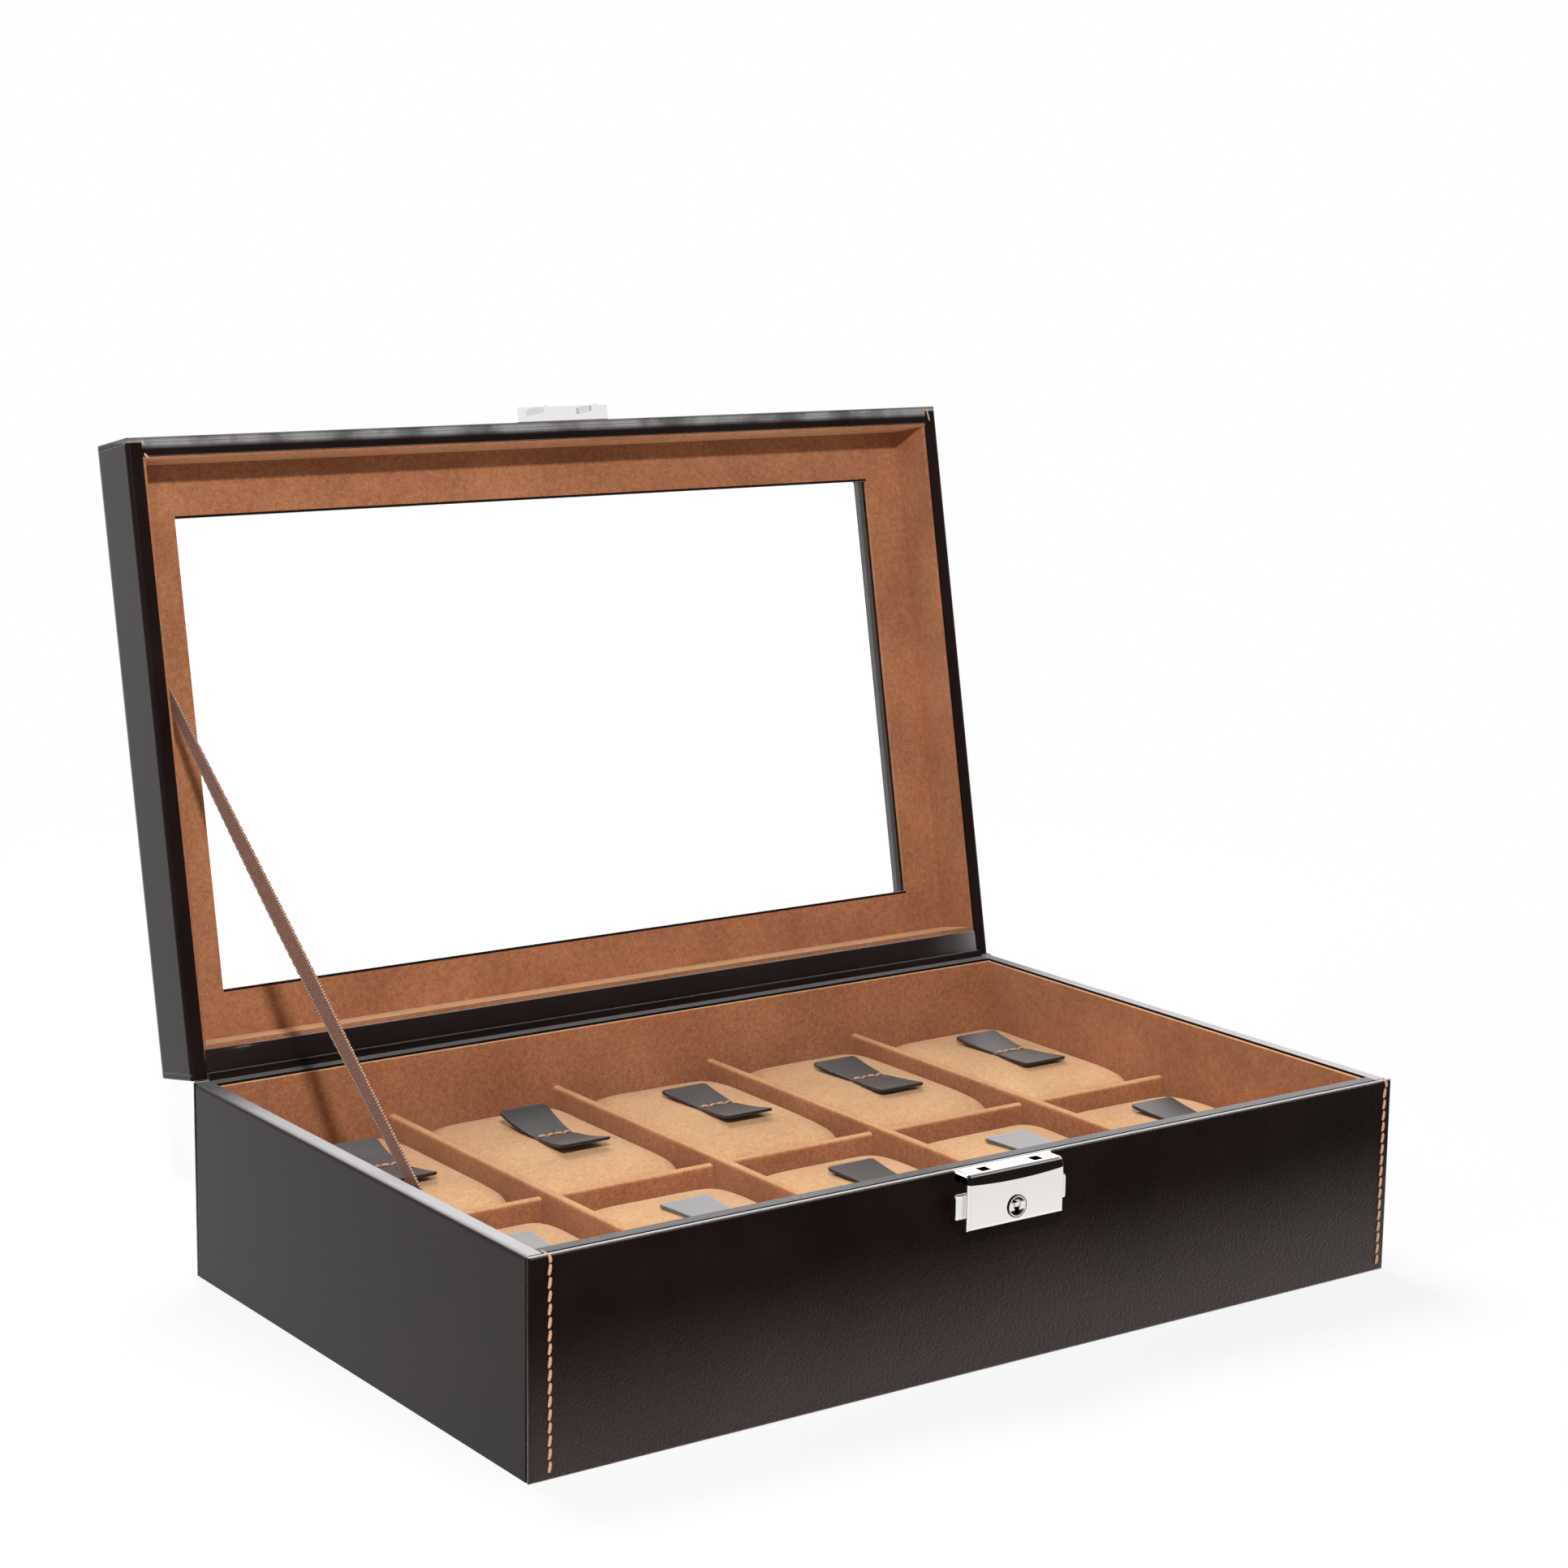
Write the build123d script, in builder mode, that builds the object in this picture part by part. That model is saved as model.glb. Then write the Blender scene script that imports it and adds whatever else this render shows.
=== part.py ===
from build123d import *
from math import asin, cos, degrees, radians, sin
import os

# A leather-covered watch case, open on its ribbon stay. X runs along the front, Y to the back, Z up.
# The origin is the middle of the underside. Millimetres.

# Overall sizes
case_width = 330.0
case_depth = 208.0
base_height = 65.0
lid_height = 26.5
open_angle = 101.0
seam_gap = 0.3

# Material thicknesses
leather = 0.8
panel = 1.8
wall_board = 3.6
floor_board = 4.0
lid_board = 6.4
lining = 1.4
glass = 2.0

# How the covering is finished
rim_round = 1.6
panel_round = 0.8
groove_round = 0.6
lid_round = 5.0
turn_in = 14.0
turn_under = 12.0
lining_drop = 0.7
lining_round = 0.5
joint_gap = 0.2

# The two leather strips that join the lid to the base
hinge_leg = 13.0
hinge_fold = 2.0

# Window in the lid, measured in from the lid's outer faces
window_side_margin = 22.5
window_front_margin = 24.7
window_back_margin = 25.8
window_corner = 1.3
glass_overlap = 7.0
glass_fit = 0.3

# Compartments
columns = 5
rows = 2
divider = 3.6
divider_round = 1.6
long_divider_top = 45.2
cross_divider_top = 42.8
cross_divider_gap = 0.2

# Watch pillows: near each end the top falls, by this much at this distance from the end
pillow_gap = 1.0
pillow_end_gap = 3.3
pillow_top = 44.6
pillow_seat = 0.3
pillow_bulge = 1.2
pillow_crown = 5.0
pillow_corner = 5.0
pillow_falls = [(24.0, 0.0), (6.2, 2.4), (0.0, 8.5)]

# Pull tabs: how far each row's tabs sit off the middle, and how far the front and back ends curl up in each column
tab_length = 41.0
tab_width = 19.3
tab_waist = 14.0
tab_thickness = 1.0
tab_corner = 1.6
tab_flat = 6.0
tab_seat = 0.05
tab_shifts = [0.0, -3.0]
tab_curls = [(2.0, 3.0), (3.0, 4.4), (2.4, 1.4), (1.4, 1.6), (1.2, 1.8)]

# Ribbon stay on the left, fixed to each part this far from the hinge
ribbon_width = 7.5
ribbon_thickness = 0.4
ribbon_base_reach = 131.6
ribbon_lid_reach = 128.0
ribbon_tail = 9.0
ribbon_seat = 0.05

# Lock case on the base
lock_width = 37.0
lock_depth = 7.5
lock_wall = 0.9
lock_plate = 0.8
lock_edge_round = 1.2
lock_top_round = 2.2
slot_size = 3.6

# Key barrel, this far below the rim, and its cam
barrel_drop = 12.2
barrel_radius = 3.5
barrel_fit = 0.05
barrel_proud = 0.4
barrel_back = 1.8
flange_radius = 4.1
flange_thickness = 0.6
flange_fit = 0.1
shaft_radius = 0.9
barrel_rim = 0.6
barrel_recess = 0.3
key_pin_rise = 0.7
key_pin_radius = 0.75
key_bore_radius = 1.7
key_slot_width = 1.7
key_slot_end = 2.5
key_depth = 2.0
cam_length = 8.0
cam_width = 3.0
cam_back = 0.4
cam_thickness = 1.2
cam_fit = 0.2

# Prongs on the lid
prong_spacing = 20.0
prong_width = 2.4
prong_depth = 2.2
prong_head = 1.0
prong_notch = 0.8
prong_notch_height = 1.4
prong_ramp = 0.6
prong_stand_out = 3.7

# Buttons that catch the prongs
button_stand_out = 2.7
button_width = 3.6
button_height = 8.2
button_rise = 2.1
button_fit = 0.05
button_corner = 1.6
button_end_bevel = 0.6
collar = 0.8
collar_fit = 0.1
collar_drop = 1.8
arm_drop = 4.4
arm_thickness = 1.0
arm_width = 4.8
arm_end = 6.5
arm_window_width = 2.8
arm_window_length = 3.5
catch_gap = 0.2
lock_arm_height = 1.6
lock_arm_fit = 0.2

# Button springs and the posts they push against
post_place = 5.5
post_thickness = 0.8
post_fit = 1.25
post_length = 4.7
spring_thickness = 0.3
spring_width = 3.0
spring_height = 3.0
spring_seat = 0.05

# Latch plate on the lid
latch_plate_thickness = 1.0
latch_plate_height = 14.0
latch_plate_corner = 2.0
latch_flange = 5.0

# Places worked out from the sizes
half_width = case_width / 2
half_depth = case_depth / 2
board_x = half_width - leather
board_y = half_depth - panel
board_inner_x = board_x - wall_board
board_inner_y = board_y - wall_board
rim_inner_x = board_inner_x - leather
rim_inner_y = board_inner_y - leather
inner_x = rim_inner_x - lining
inner_y = rim_inner_y - lining
board_top = base_height - leather
floor_top = leather + floor_board
floor_lining_top = floor_top + lining
column_pitch = (2 * inner_x + divider) / columns
row_pitch = (2 * inner_y + divider) / rows
compartment_width = column_pitch - divider
pillow_length = row_pitch - divider - 2 * pillow_end_gap

# The lid is modelled shut and swung open at the end
lid_bottom = base_height + seam_gap
lid_top = lid_bottom + lid_height
lid_rim_top = lid_bottom + leather
lid_board_top = lid_top - leather
lid_board_bottom = lid_board_top - lid_board
lid_ceiling = lid_board_bottom - lining
glass_top = lid_board_bottom + glass
window_width = case_width - 2 * window_side_margin
window_length = case_depth - window_front_margin - window_back_margin
window_middle = (window_front_margin - window_back_margin) / 2

# The lock's heights follow the rim and the barrel, and its depths its outer faces
barrel_height = base_height - barrel_drop
button_middle = barrel_height + button_rise
arm_height = base_height - arm_drop
collar_bottom = barrel_height - lock_arm_height / 2 - collar_drop
lock_bottom = barrel_height - cam_length / 2 - cam_fit - lock_wall
post_bottom = barrel_height + lock_arm_height / 2 + post_fit
post_top = arm_height - post_fit
post_middle = (post_bottom + post_top) / 2
lock_front = half_depth + lock_depth
lock_back = half_depth + lock_plate
lock_middle = half_depth + prong_stand_out
lock_inner_x = lock_width / 2 - lock_wall
prong_inner = (prong_spacing - prong_width) / 2
prong_tip = arm_height - catch_gap - prong_head
collar_outer = lock_inner_x - collar_fit
collar_inner = collar_outer - collar
cam_plane = lock_back + cam_back


def block(x0, x1, y0, y1, z0, z1, mode=Mode.ADD):
    # A block between two planes each way, in the part being built.
    with Locations(((x0 + x1) / 2, (y0 + y1) / 2, (z0 + z1) / 2)):
        Box(x1 - x0, y1 - y0, z1 - z0, mode=mode)


def area(x0, x1, y0, y1, mode=Mode.ADD):
    # A rectangle between two lines each way, in the sketch being drawn.
    with Locations(((x0 + x1) / 2, (y0 + y1) / 2)):
        Rectangle(x1 - x0, y1 - y0, mode=mode)


def wall_boards(bottom, top):
    # The front and back boards run the full width. The side boards stand between them.
    with BuildPart() as boards:
        for side in (-1, 1):
            end_y = sorted((side * board_y, side * board_inner_y))
            side_x = sorted((side * board_x, side * board_inner_x))
            reach = board_inner_y - joint_gap
            block(-board_x, board_x, end_y[0], end_y[1], bottom, top)
            block(side_x[0], side_x[1], -reach, reach, bottom, top)
    return boards.part


def end_lining(bottom, top, free_end):
    # The velvet on the front wall, softened along its free edge.
    with BuildPart() as velvet:
        block(-rim_inner_x, rim_inner_x, -rim_inner_y, -inner_y, bottom, top)
        free_edges = velvet.edges().filter_by(Axis.X).group_by(Axis.Z)[free_end]
        fillet(free_edges, lining_round)
    return velvet.part


def side_lining(bottom, top, free_end):
    # The velvet on the left wall, between the linings of the front and the back.
    with BuildPart() as velvet:
        block(-rim_inner_x, -inner_x, -inner_y, inner_y, bottom, top)
        free_edges = velvet.edges().filter_by(Axis.Y).group_by(Axis.Z)[free_end]
        fillet(free_edges, lining_round)
    return velvet.part


def lid_solid(half_x, half_y, bottom, top, top_round, side_rim, end_rim):
    # A block with its four top edges rounded over, and its lower edges too where a radius is given.
    with BuildPart() as solid:
        with BuildSketch(Plane.XZ):
            area(-half_x, half_x, bottom, top)
            fillet(vertices().group_by(Axis.Y)[-1], top_round)
            if side_rim:
                fillet(vertices().group_by(Axis.Y)[0], side_rim)
        extrude(amount=half_y, both=True)
        with BuildSketch(Plane.YZ):
            area(-half_y, half_y, bottom, top)
            fillet(vertices().group_by(Axis.Y)[-1], top_round)
            if end_rim:
                fillet(vertices().group_by(Axis.Y)[0], end_rim)
        extrude(amount=half_x, both=True, mode=Mode.INTERSECT)
    return solid.part


def window_block(margin, corner, bottom, top, mode):
    # The window's outline grown by a margin, as a block in the part being built.
    with BuildSketch(Plane.XY.offset(bottom)) as outline:
        with Locations((0, window_middle)):
            RectangleRounded(window_width + 2 * margin, window_length + 2 * margin, corner)
    extrude(outline.sketch, amount=top - bottom, mode=mode)


def mirrored(piece, plane):
    # The opposite number of a piece.
    with BuildPart() as copy:
        mirror(piece, about=plane)
    return copy.part


# Base: boards
with BuildPart() as base_floor_board:
    block(-board_x, board_x, -board_y, board_y, leather, floor_top)

base_wall_boards = wall_boards(floor_top, board_top)

# Base: the front panel, rounded round its face and eased along the groove behind it
with BuildPart() as base_front_cover:
    block(-half_width, half_width, -half_depth, -board_y, 0, base_height)
    fillet(base_front_cover.faces().sort_by(Axis.Y)[0].edges(), panel_round)
    back_edges = base_front_cover.faces().sort_by(Axis.Y)[-1].edges()
    fillet(back_edges.sort_by(Axis.Z)[1:], groove_round)

# Base: the back panel, let in for both hinge strips between the side rims
with BuildPart() as base_back_cover:
    mirror(base_front_cover.part, about=Plane.XZ)
    block(-rim_inner_x, rim_inner_x, board_y, half_depth, board_top, base_height, Mode.SUBTRACT)
    block(-rim_inner_x, rim_inner_x, half_depth - leather, half_depth,
          base_height - hinge_leg, board_top, Mode.SUBTRACT)

# Base: a side cover, from under the floor over the rim and down inside
with BuildPart() as base_left_cover:
    with BuildSketch(Plane.XZ):
        area(-half_width, -board_x, 0, base_height)
        area(-half_width, -rim_inner_x, board_top, base_height)
        area(-half_width, -half_width + turn_under, 0, leather)
        fillet(vertices().sort_by_distance((-half_width, base_height))[0], rim_round)
    extrude(amount=board_y, both=True)
    outer_edges = base_left_cover.edges().filter_by(Axis.Z).group_by(Axis.X)[0]
    fillet(outer_edges, groove_round)
    block(-board_inner_x, -rim_inner_x, -board_inner_y, board_inner_y, base_height - turn_in, board_top)

# Base: the leather over the front rim, between the side covers
with BuildPart() as base_front_rim:
    block(-rim_inner_x, rim_inner_x, -board_y, -rim_inner_y, board_top, base_height)
    block(-rim_inner_x, rim_inner_x, -board_inner_y, -rim_inner_y, base_height - turn_in, board_top)
    outer_edge = base_front_rim.edges().filter_by(Axis.X).group_by(Axis.Z)[-1].sort_by(Axis.Y)[0]
    fillet(outer_edge, groove_round)

with BuildPart() as underside_cloth:
    reach = half_width - turn_under - joint_gap
    block(-reach, reach, -board_y, board_y, 0, leather)

# Base: linings
base_lining_top = base_height - lining_drop
base_front_lining = end_lining(floor_top, base_lining_top, -1)
base_left_lining = side_lining(floor_top, base_lining_top, -1)

with BuildPart() as base_floor_lining:
    block(-inner_x, inner_x, -inner_y, inner_y, floor_top, floor_lining_top)

# Base: dividers, the long ones from front to back and the cross ones between them
with BuildPart() as long_dividers:
    with BuildSketch(Plane.XZ):
        with Locations((0, (floor_lining_top + long_divider_top) / 2)):
            with GridLocations(column_pitch, 0, columns - 1, 1):
                Rectangle(divider, long_divider_top - floor_lining_top)
        fillet(vertices().group_by(Axis.Y)[-1], divider_round)
    extrude(amount=inner_y, both=True)

with BuildPart() as cross_dividers:
    with BuildSketch(Plane.XY.offset(floor_lining_top)):
        with GridLocations(column_pitch, 0, columns, 1):
            Rectangle(compartment_width - 2 * cross_divider_gap, divider)
    extrude(amount=cross_divider_top - floor_lining_top)
    with BuildSketch(Plane.YZ):
        area(-divider / 2, divider / 2, floor_lining_top, cross_divider_top)
        fillet(vertices().group_by(Axis.Y)[-1], divider_round)
    extrude(amount=half_width, both=True, mode=Mode.INTERSECT)

# Lock: back plate with the two posts that the springs push against
with BuildPart() as lock_back_plate:
    block(-lock_width / 2, lock_width / 2, -lock_back, -half_depth, lock_bottom, base_height)
    for side in (-1, 1):
        with Locations((side * post_place, -lock_back - post_length / 2, post_middle)):
            Box(post_thickness, post_length, post_top - post_bottom)

# Lock: the case, a shell open at the back
with BuildPart() as lock_case:
    block(-lock_width / 2, lock_width / 2, -lock_front, -lock_back, lock_bottom, base_height)
    front_edges = lock_case.faces().sort_by(Axis.Y)[0].edges()
    fillet(front_edges.sort_by(Axis.Z)[-1], lock_top_round)
    front_edges = lock_case.faces().sort_by(Axis.Y)[0].edges()
    fillet(front_edges.sort_by(Axis.Z)[0:3], lock_edge_round)
    block(-lock_inner_x, lock_inner_x, -lock_front + lock_wall, -lock_back,
          lock_bottom + lock_wall, base_height - lock_wall, Mode.SUBTRACT)
    with BuildSketch(Plane.XY.offset(base_height)):
        with Locations((-prong_spacing / 2, -lock_middle), (prong_spacing / 2, -lock_middle)):
            Rectangle(slot_size, slot_size)
    extrude(amount=-lock_wall, mode=Mode.SUBTRACT)
    with BuildSketch(Plane.YZ):
        with Locations((-lock_middle, button_middle)):
            RectangleRounded(button_width + 2 * button_fit, button_height + 2 * button_fit,
                             button_corner + button_fit)
    extrude(amount=lock_width / 2, both=True, mode=Mode.SUBTRACT)
    with BuildSketch(Plane.XZ.offset(lock_front)):
        with Locations((0, barrel_height)):
            Circle(barrel_radius + barrel_fit)
    extrude(amount=-lock_wall, mode=Mode.SUBTRACT)

# Lock: the barrel turns in the case's bore, held behind it by a flange. Its face is sunk inside a rim, and a
# pin stands in the round part of the keyhole, with the slot below
with BuildPart() as lock_barrel:
    with BuildSketch(Plane.XZ.offset(lock_back + barrel_back)):
        with Locations((0, barrel_height)):
            Circle(barrel_radius)
    extrude(amount=lock_depth - lock_plate - barrel_back + barrel_proud)
    with BuildSketch(Plane.XZ.offset(lock_front - lock_wall - flange_fit)):
        with Locations((0, barrel_height)):
            Circle(flange_radius)
    extrude(amount=-flange_thickness)
    with BuildSketch(Plane.XZ.offset(cam_plane)):
        with Locations((0, barrel_height)):
            Circle(shaft_radius)
    extrude(amount=barrel_back)
    with BuildSketch(Plane.XZ.offset(lock_front + barrel_proud)):
        with Locations((0, barrel_height)):
            Circle(barrel_radius - barrel_rim)
    extrude(amount=-barrel_recess, mode=Mode.SUBTRACT)
    with BuildSketch(Plane.XZ.offset(lock_front + barrel_proud - barrel_recess)):
        area(-key_slot_width / 2, key_slot_width / 2, barrel_height - key_slot_end, barrel_height)
        with Locations((0, barrel_height + key_pin_rise)):
            Circle(key_bore_radius)
            Circle(key_pin_radius, mode=Mode.SUBTRACT)
    extrude(amount=-key_depth, mode=Mode.SUBTRACT)

# Lock: the cam stands upright when unlocked and lies between the two lock arms when locked
with BuildPart() as lock_cam:
    with BuildSketch(Plane.XZ.offset(cam_plane)):
        with Locations((0, barrel_height)):
            SlotOverall(cam_length, cam_width, rotation=90)
            Circle(shaft_radius, mode=Mode.SUBTRACT)
    extrude(amount=cam_thickness)

# Lock: the right button, with its collar inside the case, its latch arm above and its lock arm below
with BuildPart() as right_button:
    with BuildSketch(Plane.YZ.offset(collar_inner)):
        with Locations((-lock_middle, button_middle)):
            RectangleRounded(button_width, button_height, button_corner)
    extrude(amount=lock_width / 2 + button_stand_out - collar_inner)
    chamfer(right_button.faces().sort_by(Axis.X)[-1].edges(), button_end_bevel)
    block(collar_inner, collar_outer, -lock_middle - arm_width / 2, -cam_plane,
          collar_bottom, arm_height + arm_thickness)
    block(arm_end, collar_inner, -lock_middle - arm_width / 2, -lock_middle + arm_width / 2,
          arm_height, arm_height + arm_thickness)
    window_start = prong_inner + prong_notch - catch_gap
    block(window_start, window_start + arm_window_length,
          -lock_middle - arm_window_width / 2, -lock_middle + arm_window_width / 2,
          arm_height, arm_height + arm_thickness, Mode.SUBTRACT)
    block(cam_length / 2 + lock_arm_fit, collar_inner, -cam_plane - cam_thickness, -cam_plane,
          barrel_height - lock_arm_height / 2, barrel_height + lock_arm_height / 2)

# Lock: the right button's spring, a bent leaf between the post and the collar
with BuildPart() as right_button_spring:
    spring_start = post_place + (post_thickness + spring_thickness) / 2 + spring_seat
    spring_end = collar_inner - spring_thickness / 2 - spring_seat
    spring_low = post_middle - spring_height / 2
    spring_high = post_middle + spring_height / 2
    with BuildSketch(Plane.XZ.offset(lock_middle - spring_width / 2)):
        with BuildLine():
            Polyline((spring_start, spring_low), (spring_start, spring_high),
                     (spring_end, spring_low), (spring_end, spring_high))
            offset(amount=spring_thickness / 2, side=Side.BOTH)
        make_face()
    extrude(amount=spring_width)

# Lid, shut: boards
with BuildPart() as lid_top_board:
    add(lid_solid(board_x, board_y, lid_board_bottom, lid_board_top, lid_round - leather, 0, 0))
    window_block(leather, window_corner + leather, lid_board_bottom, lid_board_top, Mode.SUBTRACT)
    window_block(glass_overlap + glass_fit, window_corner, lid_board_bottom, glass_top, Mode.SUBTRACT)

lid_wall_boards = wall_boards(lid_rim_top, lid_board_bottom)

# Lid, shut: the main cover runs over the top and both sides, round the rims and into the window
lid_envelope = lid_solid(half_width, half_depth, lid_bottom, lid_top, lid_round, rim_round, panel_round)

with BuildPart() as lid_main_cover:
    add(lid_envelope)
    with BuildSketch(Plane.XY.offset(lid_bottom)):
        RectangleRounded(case_width, 2 * board_y, groove_round)
    extrude(amount=lid_height, mode=Mode.INTERSECT)
    add(lid_solid(board_x, board_y, lid_rim_top, lid_board_top, lid_round - leather, 0, 0),
        mode=Mode.SUBTRACT)
    block(-rim_inner_x, rim_inner_x, -board_y, board_y, lid_bottom, lid_rim_top, Mode.SUBTRACT)
    for side in (-1, 1):
        edge_x = sorted((side * board_inner_x, side * rim_inner_x))
        block(edge_x[0], edge_x[1], -board_inner_y, board_inner_y, lid_rim_top, lid_bottom + turn_in)
    window_block(leather, window_corner + leather, glass_top, lid_board_top, Mode.ADD)
    window_block(0, window_corner, glass_top, lid_top, Mode.SUBTRACT)

# Lid, shut: the end panels
with BuildPart() as lid_front_cover:
    add(lid_envelope)
    with BuildSketch(Plane.XY.offset(lid_bottom)):
        area(-half_width, half_width, -half_depth, -board_y)
        fillet(vertices(), groove_round)
    extrude(amount=lid_height, mode=Mode.INTERSECT)

with BuildPart() as lid_back_cover:
    mirror(lid_front_cover.part, about=Plane.XZ)
    block(-rim_inner_x, rim_inner_x, board_y, half_depth, lid_bottom, lid_rim_top, Mode.SUBTRACT)
    block(-rim_inner_x, rim_inner_x, half_depth - leather, half_depth,
          lid_rim_top, lid_bottom + hinge_leg, Mode.SUBTRACT)

with BuildPart() as lid_front_rim:
    block(-rim_inner_x, rim_inner_x, -board_y, -rim_inner_y, lid_bottom, lid_rim_top)
    block(-rim_inner_x, rim_inner_x, -board_inner_y, -rim_inner_y, lid_rim_top, lid_bottom + turn_in)
    outer_edge = lid_front_rim.edges().filter_by(Axis.X).group_by(Axis.Z)[0].sort_by(Axis.Y)[0]
    fillet(outer_edge, groove_round)

# Lid, shut: linings, window frame and glass
lid_lining_bottom = lid_bottom + lining_drop
lid_front_lining = end_lining(lid_lining_bottom, lid_ceiling, 0)
lid_left_lining = side_lining(lid_lining_bottom, lid_ceiling, 0)

with BuildPart() as window_frame_lining:
    block(-board_inner_x, board_inner_x, -board_inner_y, board_inner_y, lid_ceiling, lid_board_bottom)
    window_block(0, window_corner, lid_ceiling, lid_board_bottom, Mode.SUBTRACT)

with BuildPart() as window_glass:
    window_block(glass_overlap, window_corner, lid_board_bottom, glass_top, Mode.ADD)

# Lid, shut: the latch plate. Each prong is notched on the side away from its button and has a ramp at its tip
with BuildPart() as latch_plate:
    with BuildSketch(Plane.XZ.offset(half_depth)):
        area(-lock_width / 2, lock_width / 2, lid_bottom, lid_bottom + latch_plate_height)
        fillet(vertices().group_by(Axis.Y)[-1], latch_plate_corner)
    extrude(amount=latch_plate_thickness)
    block(-lock_width / 2, lock_width / 2, -half_depth - latch_flange, -half_depth,
          lid_bottom, lid_bottom + latch_plate_thickness)
    with BuildSketch(Plane.XZ.offset(lock_middle - prong_depth / 2)):
        area(prong_inner, prong_inner + prong_width, prong_tip, lid_bottom)
        notch_bottom = prong_tip + prong_head
        area(prong_inner, prong_inner + prong_notch, notch_bottom, notch_bottom + prong_notch_height,
             Mode.SUBTRACT)
        chamfer(vertices().sort_by_distance((prong_inner, prong_tip))[0], prong_ramp)
        mirror(about=Plane.YZ)
    extrude(amount=prong_depth)

# Leather strips between the base and the open lid, drawn across the hinge line
hinge_point = (half_depth, base_height)
lid_turn = Location((half_depth, base_height, 0), (0, 0, -open_angle))

with BuildPart() as inner_hinge_strip:
    with BuildSketch(Plane.YZ):
        with Locations(hinge_point):
            Circle(hinge_fold)
        area(half_depth - hinge_fold, half_depth + hinge_fold, base_height, base_height + hinge_fold,
             Mode.INTERSECT)
        with Locations(lid_turn):
            area(-hinge_fold, hinge_fold, seam_gap - 2 * hinge_fold, seam_gap, Mode.INTERSECT)
            area(rim_inner_y - half_depth, 0, seam_gap, seam_gap + leather)
            area(rim_inner_y - half_depth, board_inner_y - half_depth, seam_gap + leather, seam_gap + turn_in)
        area(rim_inner_y, half_depth, board_top, base_height)
        area(rim_inner_y, board_inner_y, base_height - turn_in, board_top)
    extrude(amount=rim_inner_x, both=True)

with BuildPart() as outer_hinge_strip:
    with BuildSketch(Plane.YZ):
        with Locations(hinge_point):
            Circle(hinge_fold)
        area(half_depth, half_depth + hinge_fold, base_height - hinge_fold, base_height + hinge_fold,
             Mode.INTERSECT)
        with Locations(lid_turn):
            area(0, hinge_fold, -hinge_fold, hinge_fold, Mode.INTERSECT)
            area(-leather, 0, seam_gap + leather, seam_gap + hinge_leg)
        area(half_depth - leather, half_depth, base_height - hinge_leg, board_top)
    extrude(amount=rim_inner_x, both=True)

# Ribbon stay: straight from the base's lining to the lid's when the lid is open
ribbon_foot = Vector(half_depth - ribbon_base_reach, base_height)
ribbon_head = Vector(half_depth, base_height) + ribbon_lid_reach * Vector(
    -cos(radians(open_angle)), sin(radians(open_angle)))
ribbon_line = ribbon_head - ribbon_foot

with BuildPart() as stay_ribbon:
    with BuildSketch(Plane.YZ.offset(ribbon_seat - inner_x)):
        with Locations((ribbon_foot + ribbon_head) / 2):
            Rectangle(ribbon_line.length + 2 * ribbon_tail, ribbon_width,
                      rotation=ribbon_line.get_signed_angle(Vector(1, 0, 0), Vector(0, 0, -1)))
    extrude(amount=ribbon_thickness)


def pillow(x, y):
    # A watch pillow: flat below and at the ends, crowned on top, full at the sides and cut off at the corners.
    bottom = floor_lining_top + pillow_seat
    shoulder = pillow_top - pillow_crown
    belly = (bottom + shoulder) / 2
    full = compartment_width / 2 - pillow_gap
    corner = full - pillow_bulge
    half_length = pillow_length / 2
    back_top = [(half_length - inset, pillow_top - fall) for inset, fall in pillow_falls]
    front_top = [(inset - half_length, pillow_top - fall) for inset, fall in reversed(pillow_falls)]
    with BuildPart() as cushion:
        with BuildSketch(Plane(origin=(x, y, 0), x_dir=(1, 0, 0), z_dir=(0, -1, 0))):
            with BuildLine():
                ThreePointArc((corner, shoulder), (0, pillow_top), (-corner, shoulder))
                Polyline((-corner, shoulder), (-full, belly), (-corner, bottom),
                         (corner, bottom), (full, belly), (corner, shoulder))
            make_face()
        extrude(amount=half_length, both=True)
        with BuildSketch(Plane(origin=(x, y, 0), x_dir=(0, 1, 0), z_dir=(1, 0, 0))):
            with BuildLine():
                Polyline(*front_top, *back_top, (half_length, bottom), (-half_length, bottom), close=True)
            make_face()
        extrude(amount=full, both=True, mode=Mode.INTERSECT)
        with BuildSketch(Plane(origin=(x, y, bottom))):
            Rectangle(2 * full, pillow_length)
            chamfer(vertices(), pillow_corner)
        extrude(amount=pillow_top - bottom, mode=Mode.INTERSECT)
    return cushion.part


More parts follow.
